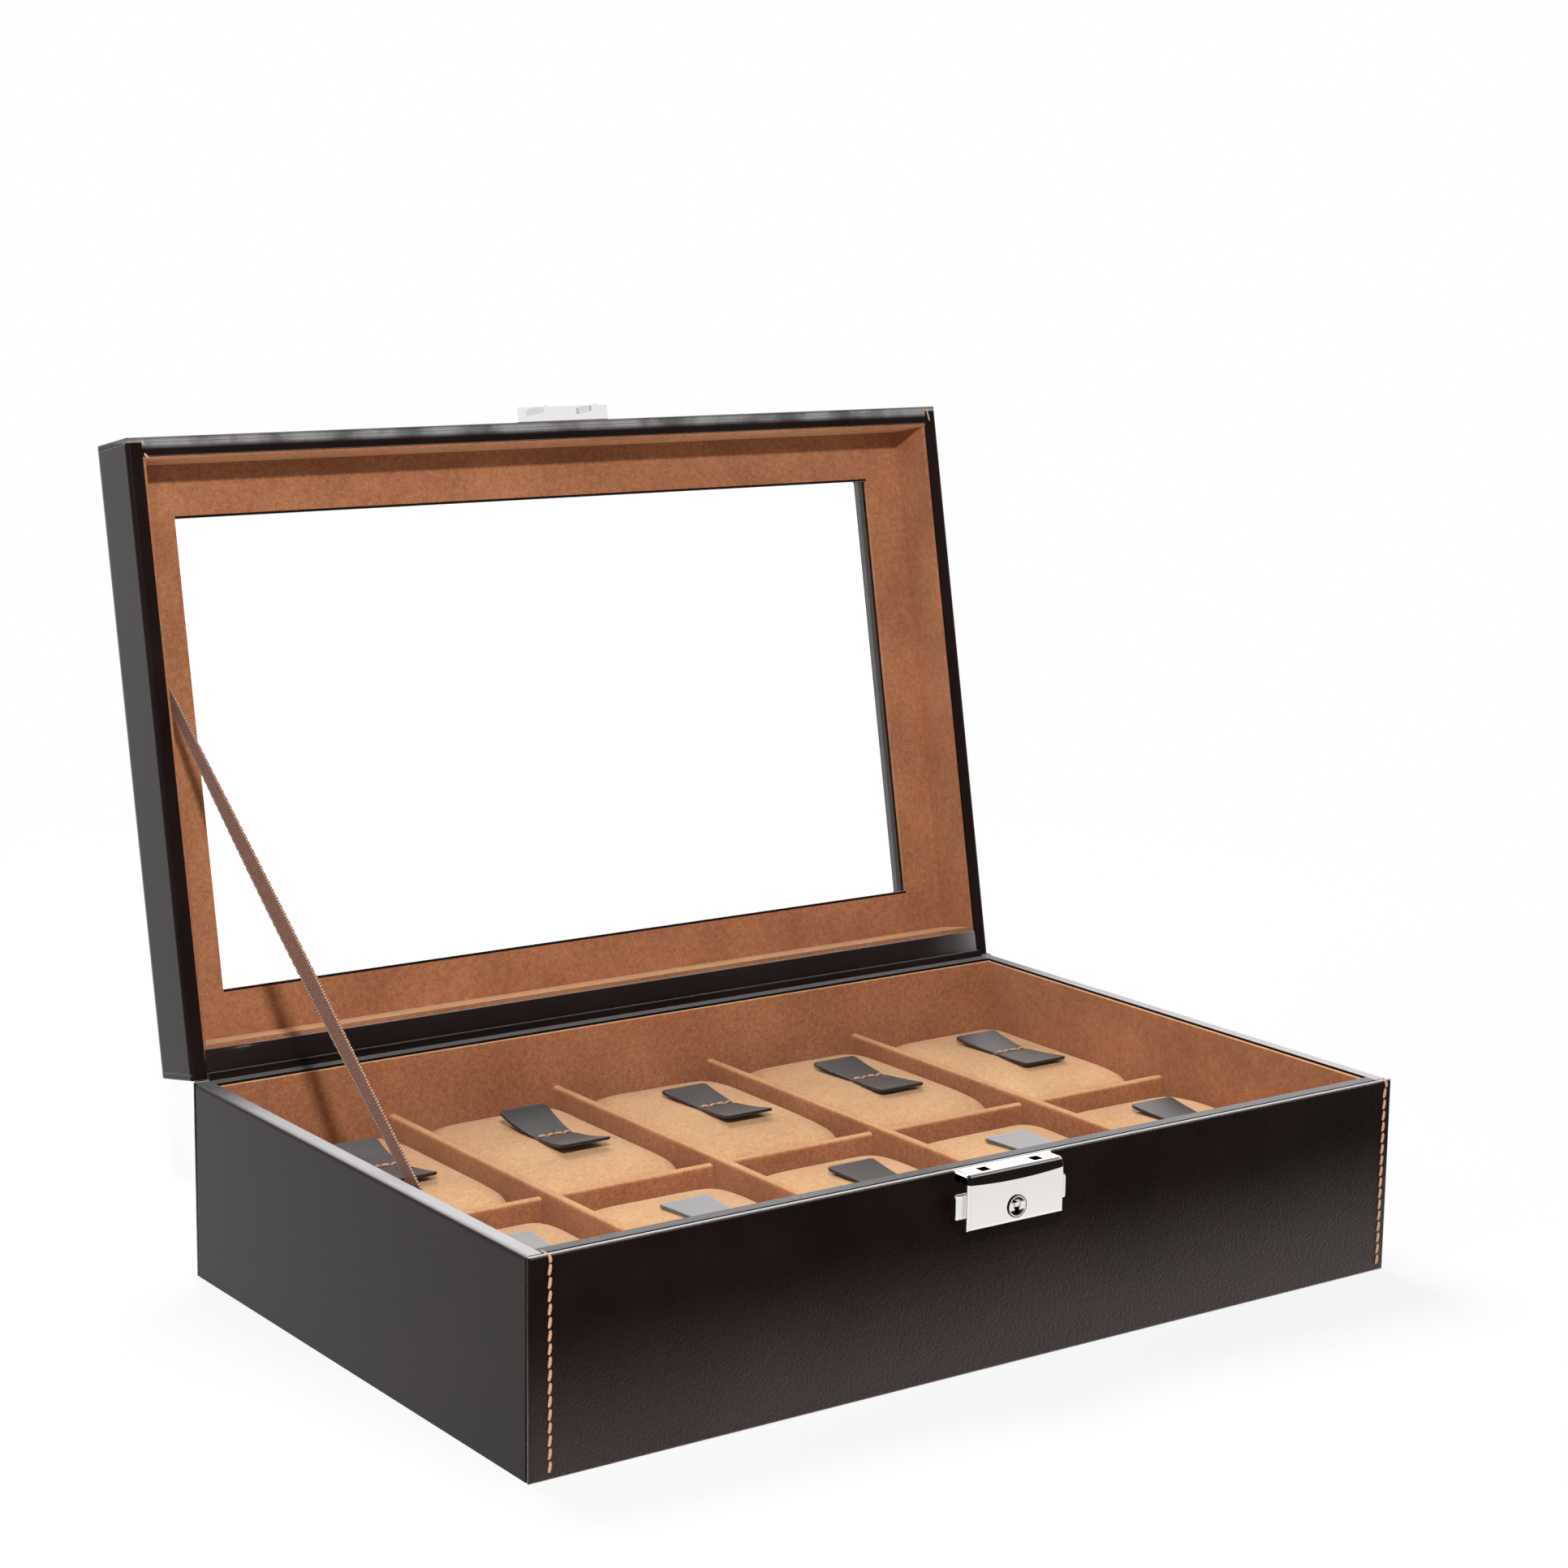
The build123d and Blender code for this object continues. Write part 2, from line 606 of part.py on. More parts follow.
def pull_tab(x, y, curls):
    # A leather tab, narrowest at its stitched middle, whose two ends curl up from the pillow.
    height = pillow_top + tab_seat
    reach = (tab_length - tab_flat) / 2
    with BuildPart() as tab:
        with BuildSketch(Plane(origin=(x, y, height), x_dir=(0, 1, 0), z_dir=(1, 0, 0))):
            with BuildLine():
                Line((-tab_flat / 2, 0), (tab_flat / 2, 0))
                Line((-tab_flat / 2, tab_thickness), (tab_flat / 2, tab_thickness))
                for side, curl in zip((-1, 1), curls):
                    radius = (reach ** 2 + curl ** 2) / (2 * curl)
                    turn = side * degrees(asin(reach / radius))
                    centre = (side * tab_flat / 2, radius)
                    low = CenterArc(centre, radius, -90, turn)
                    high = CenterArc(centre, radius - tab_thickness, -90, turn)
                    Line(low @ 1, high @ 1)
            make_face()
        extrude(amount=tab_width / 2, both=True)
        with BuildSketch(Plane(origin=(x, y, height))):
            with BuildLine():
                for side in (-1, 1):
                    edge = side * tab_width / 2
                    end = side * tab_length / 2
                    Polyline((edge, -tab_length / 2), (side * tab_waist / 2, 0), (edge, tab_length / 2))
                    Line((-tab_width / 2, end), (tab_width / 2, end))
            make_face()
            corners = vertices().group_by(Axis.Y)
            chamfer(corners[0] + corners[-1], tab_corner)
        extrude(amount=max(curls) + 2 * tab_thickness, mode=Mode.INTERSECT)
    return tab.part


pieces = {
    "base_floor_board": base_floor_board.part,
    "base_wall_boards": base_wall_boards,
    "base_front_cover": base_front_cover.part,
    "base_back_cover": base_back_cover.part,
    "base_left_cover": base_left_cover.part,
    "base_right_cover": mirrored(base_left_cover.part, Plane.YZ),
    "base_front_rim": base_front_rim.part,
    "underside_cloth": underside_cloth.part,
    "base_front_lining": base_front_lining,
    "base_back_lining": mirrored(base_front_lining, Plane.XZ),
    "base_left_lining": base_left_lining,
    "base_right_lining": mirrored(base_left_lining, Plane.YZ),
    "base_floor_lining": base_floor_lining.part,
    "long_dividers": long_dividers.part,
    "cross_dividers": cross_dividers.part,
    "lock_back_plate": lock_back_plate.part,
    "lock_case": lock_case.part,
    "lock_barrel": lock_barrel.part,
    "lock_cam": lock_cam.part,
    "left_button": mirrored(right_button.part, Plane.YZ),
    "right_button": right_button.part,
    "left_button_spring": mirrored(right_button_spring.part, Plane.YZ),
    "right_button_spring": right_button_spring.part,
    "inner_hinge_strip": inner_hinge_strip.part,
    "outer_hinge_strip": outer_hinge_strip.part,
    "stay_ribbon": stay_ribbon.part,
}

# The lid's pieces, swung open about the hinge line
lid_pieces = {
    "lid_top_board": lid_top_board.part,
    "lid_wall_boards": lid_wall_boards,
    "lid_main_cover": lid_main_cover.part,
    "lid_front_cover": lid_front_cover.part,
    "lid_back_cover": lid_back_cover.part,
    "lid_front_rim": lid_front_rim.part,
    "lid_front_lining": lid_front_lining,
    "lid_back_lining": mirrored(lid_front_lining, Plane.XZ),
    "lid_left_lining": lid_left_lining,
    "lid_right_lining": mirrored(lid_left_lining, Plane.YZ),
    "window_frame_lining": window_frame_lining.part,
    "window_glass": window_glass.part,
    "latch_plate": latch_plate.part,
}
hinge_axis = Axis((0, half_depth, base_height), (1, 0, 0))
for name, piece in lid_pieces.items():
    pieces[name] = piece.rotate(hinge_axis, -open_angle)

# Pillows and tabs, numbered from the front left along each row
for row in range(rows):
    for column in range(columns):
        number = row * columns + column + 1
        centre_x = (column - (columns - 1) / 2) * column_pitch
        centre_y = (row - (rows - 1) / 2) * row_pitch
        pieces[f"pillow_{number}"] = pillow(centre_x, centre_y)
        pieces[f"tab_{number}"] = pull_tab(centre_x, centre_y + tab_shifts[row], tab_curls[column])

os.makedirs("parts", exist_ok=True)
for name, piece in pieces.items():
    piece.label = name
    export_step(piece, f"parts/{name}.step")
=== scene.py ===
import math
import bpy
import numpy as np
from mathutils import Matrix, Vector


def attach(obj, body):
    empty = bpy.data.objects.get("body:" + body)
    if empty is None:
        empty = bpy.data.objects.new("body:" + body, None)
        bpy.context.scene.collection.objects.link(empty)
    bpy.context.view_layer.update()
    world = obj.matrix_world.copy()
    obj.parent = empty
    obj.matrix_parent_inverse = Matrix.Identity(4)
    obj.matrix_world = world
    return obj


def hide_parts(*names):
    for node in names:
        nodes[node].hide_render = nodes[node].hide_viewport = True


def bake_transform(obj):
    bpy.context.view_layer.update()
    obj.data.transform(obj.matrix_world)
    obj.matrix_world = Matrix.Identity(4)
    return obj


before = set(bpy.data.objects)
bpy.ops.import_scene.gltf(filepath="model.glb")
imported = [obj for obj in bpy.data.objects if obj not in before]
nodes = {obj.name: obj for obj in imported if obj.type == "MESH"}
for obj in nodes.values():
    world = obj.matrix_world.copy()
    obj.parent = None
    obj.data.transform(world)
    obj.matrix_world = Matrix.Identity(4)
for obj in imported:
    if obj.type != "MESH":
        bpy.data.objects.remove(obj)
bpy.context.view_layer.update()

print("watch case: frame loaded")

mm = 0.001
scene = bpy.context.scene
scene.view_settings.view_transform = "Standard"

# the hinge line and the lid's directions: along from the hinge to the lid's front, out through its top
lid = {"hinge": (0.0, 0.104, 0.065), "open": 101.0, "seam": 0.3 * mm}
openAngle = math.radians(lid["open"])
hingePoint = np.array(lid["hinge"])
alongLid = np.array([0.0, -math.cos(openAngle), math.sin(openAngle)])
outOfLid = np.array([0.0, math.sin(openAngle), math.cos(openAngle)])


# the camera, fitted to the photograph
cameraLook = {"azimuth": -35.005, "elevation": 10.431, "roll": 0.626, "target": (-0.02568, 0.0, 0.16758),
              "distance": 1.02492, "sensor": 36, "lens": 74.81, "shiftX": 0.0306, "shiftY": -0.0043}


def placeCamera(look):
    # back = direction from the target to the camera; the camera turns about it by the roll
    azimuth, elevation = math.radians(look["azimuth"]), math.radians(look["elevation"])
    back = Vector((math.sin(azimuth) * math.cos(elevation), -math.cos(azimuth) * math.cos(elevation),
                   math.sin(elevation)))
    data = bpy.data.cameras.new("photoCamera")
    data.sensor_width = look["sensor"]
    data.lens = look["lens"]
    data.shift_x, data.shift_y = look["shiftX"], look["shiftY"]
    camera = bpy.data.objects.new("photoCamera", data)
    scene.collection.objects.link(camera)
    camera.location = Vector(look["target"]) + back * look["distance"]
    camera.rotation_mode = "QUATERNION"
    level = (-back).to_track_quat("-Z", "Y")
    camera.rotation_quaternion = level @ Matrix.Rotation(math.radians(look["roll"]), 3, "Z").to_quaternion()
    scene.camera = camera


placeCamera(cameraLook)
print("watch case: camera placed")


# nodes of a material, of the world or of a shared group
def linkValue(tree, value, socket):
    # an output is linked, a colour gets its fourth value, and a number is set as it is
    if isinstance(value, bpy.types.NodeSocket):
        tree.links.new(value, socket)
    else:
        socket.default_value = (*value, 1) if isinstance(value, tuple) else value


def addNode(tree, kind, inputs=(), **settings):
    node = tree.nodes.new("ShaderNode" + kind)
    for name, value in settings.items():
        setattr(node, name, value)
    for name, value in dict(inputs).items():
        linkValue(tree, value, node.inputs[name])
    return node


def mathNode(tree, operation, first, second=0.0):
    return addNode(tree, "Math", {0: first, 1: second}, operation=operation).outputs[0]


def product(tree, first, second):
    return mathNode(tree, "MULTIPLY", first, second)


def squared(tree, value):
    return mathNode(tree, "POWER", mathNode(tree, "ABSOLUTE", value), 2.0)


def wave(tree, value, pitch):
    # a sine that repeats after each pitch
    return mathNode(tree, "SINE", product(tree, value, 2 * math.pi / pitch))


def rampNode(tree, value, low, high, first, last, kind="SMOOTHSTEP"):
    # goes from the first value to the last while the input goes from low to high
    inputs = {"Value": value, "From Min": low, "From Max": high, "To Min": first, "To Max": last}
    return addNode(tree, "MapRange", inputs, interpolation_type=kind).outputs[0]


def noiseNode(tree, vector, scale, detail, rough=0.5):
    inputs = {"Vector": vector, "Scale": scale, "Detail": detail, "Roughness": rough}
    return addNode(tree, "TexNoise", inputs).outputs["Fac"]


def placeValue(tree, kind):
    return addNode(tree, "TexCoord").outputs[kind]


def splitNode(tree, vector):
    return addNode(tree, "SeparateXYZ", {0: vector}).outputs


def mixShaders(tree, share, first, second):
    return addNode(tree, "MixShader", {0: share, 1: first, 2: second}).outputs[0]


def mixColours(tree, share, first, second):
    inputs = {"Factor": share, "A": first, "B": second}
    return addNode(tree, "Mix", inputs, data_type="RGBA").outputs["Result"]


# the studio: spans are where a change starts and ends
studio = {"floorHalf": 40.0, "floorTone": 0.80, "floorWhite": 1.17, "floorShare": 0.62,
          "whiteSpan": (0.30, 0.85),
          "fill": 0.20, "horizon": 1.0, "crown": 0.04, "crownSpan": (0.62, 0.86),
          "backLight": 3.2, "backRise": (0.22, 0.46), "backFall": (0.46, 0.72), "backSpan": (0.15, 0.5),
          "glossNear": 1.1, "glossFar": 0.9, "glossSpan": (0.13, 0.30), "glossSide": 0.4,
          "sideSpan": (-0.9, -0.3), "behindSpan": (-0.1, 0.25), "mirroredWhite": 2.2}
lamps = {"keyLamp": {"power": 17.5, "size": (0.08, 0.08), "place": (-0.73, -1.06, 0.97),
                     "aim": (0.0, 0.05, 0.08)},
         "backLamp": {"power": 9.0, "size": (0.60, 0.60), "place": (0.05, 0.66, 1.12),
                      "aim": (0.0, -0.05, 0.05)},
         "edgeStrip": {"power": 3.5, "size": (0.08, 0.90), "place": (-1.6, -0.15, 0.35),
                       "aim": (-0.16, 0.05, 0.17)}}


def whiteRays(tree):
    # 1 for the rays that should see a plain white background, straight from the camera or through the glass,
    # with all that is known of the ray
    path = addNode(tree, "LightPath").outputs
    return mathNode(tree, "MAXIMUM", path["Is Camera Ray"], path["Is Transmission Ray"]), path


def buildWorld(look):
    # reflections see a white horizon, a soft lit wall behind and a dark ceiling, and all else an even light
    world = bpy.data.worlds.new("studioWorld")
    world.use_nodes = True
    tree = world.node_tree
    tree.nodes.clear()
    seen, path = whiteRays(tree)
    split = splitNode(tree, placeValue(tree, "Generated"))
    mirroredBefore = mathNode(tree, "MINIMUM", path["Glossy Depth"], 1.0)
    brighter = product(tree, mirroredBefore, look["mirroredWhite"] - 1)
    sky = rampNode(tree, split["Z"], *look["crownSpan"], look["horizon"], look["crown"])
    rise = rampNode(tree, split["Z"], *look["backRise"], 0.0, 1.0)
    fall = rampNode(tree, split["Z"], *look["backFall"], 1.0, 0.0)
    behind = rampNode(tree, split["Y"], *look["backSpan"], 0.0, look["backLight"])
    wall = product(tree, product(tree, rise, fall), behind)
    strengths = [look["fill"], mathNode(tree, "ADD", sky, wall), mathNode(tree, "ADD", brighter, 1.0)]
    shades = []
    for strength in strengths:
        inputs = {"Color": (1.0, 1.0, 1.0), "Strength": strength}
        shades.append(addNode(tree, "Background", inputs).outputs[0])
    lighting = mixShaders(tree, path["Is Glossy Ray"], shades[0], shades[1])
    addNode(tree, "OutputWorld", {0: mixShaders(tree, seen, lighting, shades[2])})
    scene.world = world


def addLamp(name, look):
    data = bpy.data.lights.new(name, "AREA")
    data.energy = look["power"]
    data.shape = "RECTANGLE"
    data.size, data.size_y = look["size"]
    lamp = bpy.data.objects.new(name, data)
    scene.collection.objects.link(lamp)
    lamp.location = look["place"]
    lamp.rotation_mode = "QUATERNION"
    lamp.rotation_quaternion = (Vector(look["aim"]) - Vector(look["place"])).to_track_quat("-Z", "Y")


def buildFloor(look):
    half = look["floorHalf"]
    mesh = bpy.data.meshes.new("studioFloor")
    corners = [(-half, -half, 0), (half, -half, 0), (half, half, 0), (-half, half, 0)]
    mesh.from_pydata(corners, [], [(0, 1, 2, 3)])
    floor = bpy.data.objects.new("studioFloor", mesh)
    scene.collection.objects.link(floor)
    material = bpy.data.materials.new("floorWhite")
    material.use_nodes = True
    tree = material.node_tree
    tree.nodes.clear()
    seen, path = whiteRays(tree)
    place = placeValue(tree, "Object")
    split = splitNode(tree, place)
    inFront = product(tree, split["Y"], -1.0)
    frontTone = rampNode(tree, inFront, *look["glossSpan"], look["glossNear"], look["glossFar"])
    leftTone = rampNode(tree, split["X"], *look["sideSpan"], look["glossSide"], 0.0)
    behind = rampNode(tree, split["Y"], *look["behindSpan"], 0.0, 1.0)
    mirrored = mathNode(tree, "ADD", frontTone, product(tree, leftTone, behind))
    distance = addNode(tree, "VectorMath", {0: place}, operation="LENGTH").outputs["Value"]
    share = rampNode(tree, distance, *look["whiteSpan"], look["floorShare"], 1.0)
    strength = rampNode(tree, distance, *look["whiteSpan"], look["floorWhite"], 1.0)
    lit = addNode(tree, "BsdfDiffuse", {"Color": (look["floorTone"],) * 3}).outputs[0]
    white = addNode(tree, "Emission", {"Strength": strength}).outputs[0]
    mirror = addNode(tree, "Emission", {"Strength": mirrored}).outputs[0]
    shown = mixShaders(tree, product(tree, seen, share), lit, white)
    addNode(tree, "OutputMaterial", {0: mixShaders(tree, path["Is Glossy Ray"], shown, mirror)})
    mesh.materials.append(material)


buildWorld(studio)
buildFloor(studio)
for lampName, lampLook in lamps.items():
    addLamp(lampName, lampLook)
bpy.data.objects["edgeStrip"].visible_diffuse = False
print("watch case: studio built")


# shared effects: node groups that put out tones and heights
grainLook = {"sizes": {"Vector": None, "Pebbles": 900.0, "Pores": 3200.0, "Patches": 28.0},
             "shake": 260.0, "shakeDetail": 2.0, "shakeReach": 0.0016, "smoothness": 0.55,
             "poreDetail": 2.0, "poreDepth": 0.35, "patchNoise": (4.0, 0.6), "foldNoise": (75.0, 2.0, 0.55),
             "foldWidth": 0.018, "foldPatch": (0.50, 0.62), "foldDepth": -0.3}
napLook = {"sizes": {"Vector": None, "Patches": 32.0, "Mottle": 520.0, "Fibres": 2400.0},
           "layers": {"Patches": (3.0, 0.55, 0.26), "Mottle": (3.0, 0.6, 0.24), "Fibres": (2.0, 0.7, 0.50)}}


def newGroup(name, inputs):
    # an input without a value is a place, and the outputs are a height for the bump and a tone
    group = bpy.data.node_groups.new(name, "ShaderNodeTree")
    for label, value in inputs.items():
        kind = "NodeSocketVector" if value is None else "NodeSocketFloat"
        socket = group.interface.new_socket(label, in_out="INPUT", socket_type=kind)
        if value is not None:
            socket.default_value = value
    for label in ("Height", "Tone"):
        group.interface.new_socket(label, in_out="OUTPUT", socket_type="NodeSocketFloat")
    return group, group.nodes.new("NodeGroupInput").outputs, group.nodes.new("NodeGroupOutput").inputs


def buildHideGrain(look):
    # pebbles from a smooth cell pattern whose place is shaken by noise, finer pores, and in patches the thin
    # creases where a wide noise crosses its middle value
    group, start, end = newGroup("hideGrain", look["sizes"])
    place = start["Vector"]
    inputs = {"Vector": place, "Scale": look["shake"], "Detail": look["shakeDetail"]}
    shake = addNode(group, "TexNoise", inputs).outputs["Color"]
    spread = addNode(group, "VectorMath", {0: shake, "Scale": look["shakeReach"]}, operation="SCALE")
    moved = addNode(group, "VectorMath", {0: place, 1: spread.outputs[0]}, operation="ADD").outputs[0]
    inputs = {"Vector": moved, "Scale": start["Pebbles"], "Smoothness": look["smoothness"]}
    cells = addNode(group, "TexVoronoi", inputs, feature="SMOOTH_F1").outputs["Distance"]
    pebble = product(group, cells, -1.0)
    pores = noiseNode(group, place, start["Pores"], look["poreDetail"])
    patches = noiseNode(group, place, start["Patches"], *look["patchNoise"])
    folds = noiseNode(group, place, *look["foldNoise"])
    fromFold = mathNode(group, "ABSOLUTE", mathNode(group, "SUBTRACT", folds, 0.5))
    ridge = rampNode(group, fromFold, 0.0, look["foldWidth"], 1.0, 0.0)
    crinkle = product(group, ridge, rampNode(group, patches, *look["foldPatch"], 0.0, look["foldDepth"]))
    bumps = mathNode(group, "ADD", pebble, product(group, pores, look["poreDepth"]))
    group.links.new(mathNode(group, "ADD", bumps, crinkle), end["Height"])
    group.links.new(patches, end["Tone"])
    return group


def buildNap(look):
    # short pile: brushed patches, smaller mottling and single-fibre speckle, each with its share of the tone
    group, start, end = newGroup("napPile", look["sizes"])
    tone = None
    for label, (detail, rough, share) in look["layers"].items():
        layer = noiseNode(group, start["Vector"], start[label], detail, rough)
        part = product(group, layer, share)
        tone = part if tone is None else mathNode(group, "ADD", tone, part)
    group.links.new(layer, end["Height"])
    group.links.new(tone, end["Tone"])
    return group


hideGrain = buildHideGrain(grainLook)
napPile = buildNap(napLook)


# materials
def newMaterial(name, inputs):
    material = bpy.data.materials.new(name)
    material.use_nodes = True
    tree = material.node_tree
    tree.nodes.clear()
    shader = addNode(tree, "BsdfPrincipled", inputs)
    addNode(tree, "OutputMaterial", {"Surface": shader.outputs[0]})
    return material, tree, shader, placeValue(tree, "Object")


def toneRamp(tree, tone, colours, low, high):
    # spreads a tone between two limits over the colours given, from the first to the last
    ramp = addNode(tree, "ValToRGB", {0: tone})
    stops = ramp.color_ramp.elements
    places = np.linspace(low, high, len(colours))
    stops[0].position, stops[1].position = float(places[0]), float(places[-1])
    stops[0].color, stops[1].color = (*colours[0], 1), (*colours[-1], 1)
    for place, colour in zip(places[1:-1], colours[1:-1]):
        stops.new(float(place)).color = (*colour, 1)
    return ramp.outputs[0]


def upwardValue(tree):
    # how far a face looks up: the height of its normal
    return splitNode(tree, addNode(tree, "NewGeometry").outputs["Normal"])["Z"]


def slantValue(tree):
    # nought where a face is seen straight on, one where it is seen along its surface
    return addNode(tree, "LayerWeight", {"Blend": 0.5}).outputs["Facing"]


def addBump(tree, shader, height, look):
    bump = addNode(tree, "Bump", {"Strength": look["strength"], "Distance": look["depth"], "Height": height})
    tree.links.new(bump.outputs[0], shader.inputs["Normal"])


# what the leathers, the velvets and the ribbon share
middleTones = (0.3, 0.7)
paintedSheenLook = {"up": (0.55, 0.95), "fadeTo": 0.25, "sheenMottle": (55.0, 3.0, 0.6), "sheenMottleSpan": (0.35, 0.62),
             "sheenMottleLeast": 0.35}
pileLook = {"roughness": 0.92, "specular": 0.15, "sheenRoughness": 0.45, "slantPower": 2.5,
            "up": (0.4, 0.95), "tones": (0.36, 0.64)}


def paintGrazingSheen(tree, shader, place, look):
    # painted sheen: a pale diffuse colour is mixed in where the hide is seen along its surface, standing in
    # for the bright studio it would mirror there; the share is a power of the slant
    slant = slantValue(tree)
    share = product(tree, mathNode(tree, "POWER", slant, look["paintedSheenPower"]), look["paintedSheenShare"])
    split = splitNode(tree, place)
    if "topShare" in look:
        # more so on the faces that look up to the lamp behind, less in the lid's shadow at the back
        upward = rampNode(tree, upwardValue(tree), *paintedSheenLook["up"], 0.0, look["topShare"])
        if "topFade" in look:
            faded = rampNode(tree, split["Y"], *look["topFade"], 1.0, paintedSheenLook["fadeTo"])
            upward = product(tree, upward, faded)
        share = mathNode(tree, "MAXIMUM", share, product(tree, upward, slant))
    if "paintedBand" in look:
        # a painted highlight, mottled by noise, along the rim's rounded outer half
        centre, half, most = look["paintedBand"]
        away = mathNode(tree, "ABSOLUTE", mathNode(tree, "SUBTRACT", split["Z"], centre))
        sheenMottle = noiseNode(tree, place, *paintedSheenLook["sheenMottle"])
        mottledSheen = rampNode(tree, sheenMottle, *paintedSheenLook["sheenMottleSpan"], paintedSheenLook["sheenMottleLeast"], 1.0)
        sheen = product(tree, rampNode(tree, away, 0.0, half, most, 0.0), mottledSheen)
        share = mathNode(tree, "MAXIMUM", share, sheen)
    paintedSheen = addNode(tree, "BsdfDiffuse", {"Color": look["paintedSheen"]}).outputs[0]
    output = next(node for node in tree.nodes if node.type == "OUTPUT_MATERIAL")
    tree.links.new(mixShaders(tree, share, shader.outputs[0], paintedSheen), output.inputs["Surface"])


def leatherMaterial(name, look):
    inputs = {"Roughness": look["roughness"], "Specular IOR Level": look["specular"],
              "Specular Tint": look["specularTint"]}
    material, tree, shader, place = newMaterial(name, inputs)
    inputs = {"Vector": place, "Pebbles": look["pebbles"], "Pores": look["pores"]}
    grain = addNode(tree, "Group", inputs, node_tree=hideGrain).outputs
    tree.links.new(toneRamp(tree, grain["Tone"], look["colours"], *middleTones), shader.inputs["Base Color"])
    glossy, dull = look["roughness"] - look["glossChange"], look["roughness"] + look["glossChange"]
    tree.links.new(rampNode(tree, grain["Tone"], *middleTones, glossy, dull, "LINEAR"),
                   shader.inputs["Roughness"])
    addBump(tree, shader, grain["Height"], look)
    if "fadeHeight" in look:
        # the panel mirrors less of the bright floor the higher it is
        height = splitNode(tree, place)["Z"]
        faded = rampNode(tree, height, 0.0, look["fadeHeight"], look["specular"], look["fadeTo"])
        edge = rampNode(tree, upwardValue(tree), *look["edgeSpan"], 0.0, look["edgeSpecular"])
        tree.links.new(mathNode(tree, "MAXIMUM", faded, edge), shader.inputs["Specular IOR Level"])
    paintGrazingSheen(tree, shader, place, look)
    return material


def velvetMaterial(name, look):
    inputs = {"Roughness": pileLook["roughness"], "Specular IOR Level": pileLook["specular"],
              "Sheen Weight": look["sheen"], "Sheen Roughness": pileLook["sheenRoughness"],
              "Sheen Tint": look["sheenTint"]}
    material, tree, shader, place = newMaterial(name, inputs)
    nap = addNode(tree, "Group", {"Vector": place}, node_tree=napPile).outputs
    # painted sheen: lighter tip colours are mixed in where the cloth is seen along its surface, and painted
    # light on the faces that look up
    slanted = mathNode(tree, "POWER", slantValue(tree), pileLook["slantPower"])
    upward = rampNode(tree, upwardValue(tree), *pileLook["up"], 0.0, look["paintedTopLight"])
    share = mathNode(tree, "MAXIMUM", product(tree, slanted, look["paintedSlantShare"]), upward)
    roots = toneRamp(tree, nap["Tone"], look["colours"], *pileLook["tones"])
    paintedSheenTones = toneRamp(tree, nap["Tone"], look["paintedSheenTones"], *pileLook["tones"])
    tree.links.new(mixColours(tree, share, roots, paintedSheenTones), shader.inputs["Base Color"])
    addBump(tree, shader, nap["Height"], look)
    return material


# the case's leather and its copies. Every leather gets a painted grazing sheen; the copies add a painted
# highlight on the faces that look up (fading towards the hinge on the sides), and the lid's front a painted
# highlight band along its rim
caseLeather = {"colours": [(0.0055, 0.0024, 0.0021), (0.0085, 0.0043, 0.0037), (0.0125, 0.0070, 0.0062)],
               "roughness": 0.30, "glossChange": 0.05, "specular": 0.06, "specularTint": (1.0, 0.80, 0.76),
               "pebbles": 1100.0, "pores": 3400.0, "strength": 0.20, "depth": 0.10 * mm,
               "paintedSheen": (0.86, 0.85, 0.87), "paintedSheenPower": 5.5, "paintedSheenShare": 1.0}
rollLeather = {**caseLeather, "specular": 0.12, "paintedSheen": (0.9, 0.88, 0.89), "topShare": 0.55}
lidFrontLeather = {**caseLeather, "paintedSheen": (0.88, 0.86, 0.87), "topShare": 0.70,
                   "paintedBand": (267.3 * mm, 2.4 * mm, 0.42)}
sideLeather = {**caseLeather, "paintedSheen": (0.88, 0.86, 0.87), "topShare": 0.95, "topFade": (50 * mm, 98 * mm)}
panelLeather = {**caseLeather, "specular": 0.42, "fadeHeight": 50 * mm, "fadeTo": 0.02,
                "edgeSpan": (0.1, 0.6), "edgeSpecular": 0.9, "strength": 0.9, "depth": 0.22 * mm,
                "topShare": 1.0}
tabLeather = {"colours": [(0.014, 0.0085, 0.0075), (0.021, 0.0135, 0.012)],
              "roughness": 0.40, "glossChange": 0.05, "specular": 0.3, "specularTint": (1.0, 0.95, 0.93),
              "pebbles": 1500.0, "pores": 4200.0, "strength": 0.2, "depth": 0.08 * mm,
              "paintedSheen": (0.90, 0.89, 0.90), "paintedSheenPower": 5.5, "paintedSheenShare": 0.22}
# the tabs that lie flat get a copy with a stronger painted grazing sheen, for the bright studio they would
# mirror
sheenPaintedTabLeather = {**tabLeather, "paintedSheenPower": 2.0, "paintedSheenShare": 0.85}
# the lining's velvet and the pillows' copy, whose colours are painted lighter for the stronger light on the
# pillow tops; both get painted sheen tones at grazing and painted light on faces that look up
wallVelvet = {"colours": [(0.24, 0.088, 0.039), (0.385, 0.158, 0.074), (0.56, 0.255, 0.127)], "sheen": 0.15,
              "sheenTint": (1.0, 0.80, 0.62), "strength": 0.7, "depth": 0.25 * mm,
              "paintedSheenTones": [(0.66, 0.33, 0.15), (0.95, 0.56, 0.29)], "paintedSlantShare": 0.8, "paintedTopLight": 0.95}
pillowVelvetPaintedLit = {"colours": [(0.54, 0.262, 0.122), (0.75, 0.410, 0.205), (0.92, 0.560, 0.305)], "sheen": 0.12,
                "sheenTint": (1.0, 0.86, 0.70), "strength": 0.5, "depth": 0.25 * mm,
                "paintedSheenTones": [(0.72, 0.42, 0.22), (0.98, 0.66, 0.38)], "paintedSlantShare": 0.6, "paintedTopLight": 0.45}

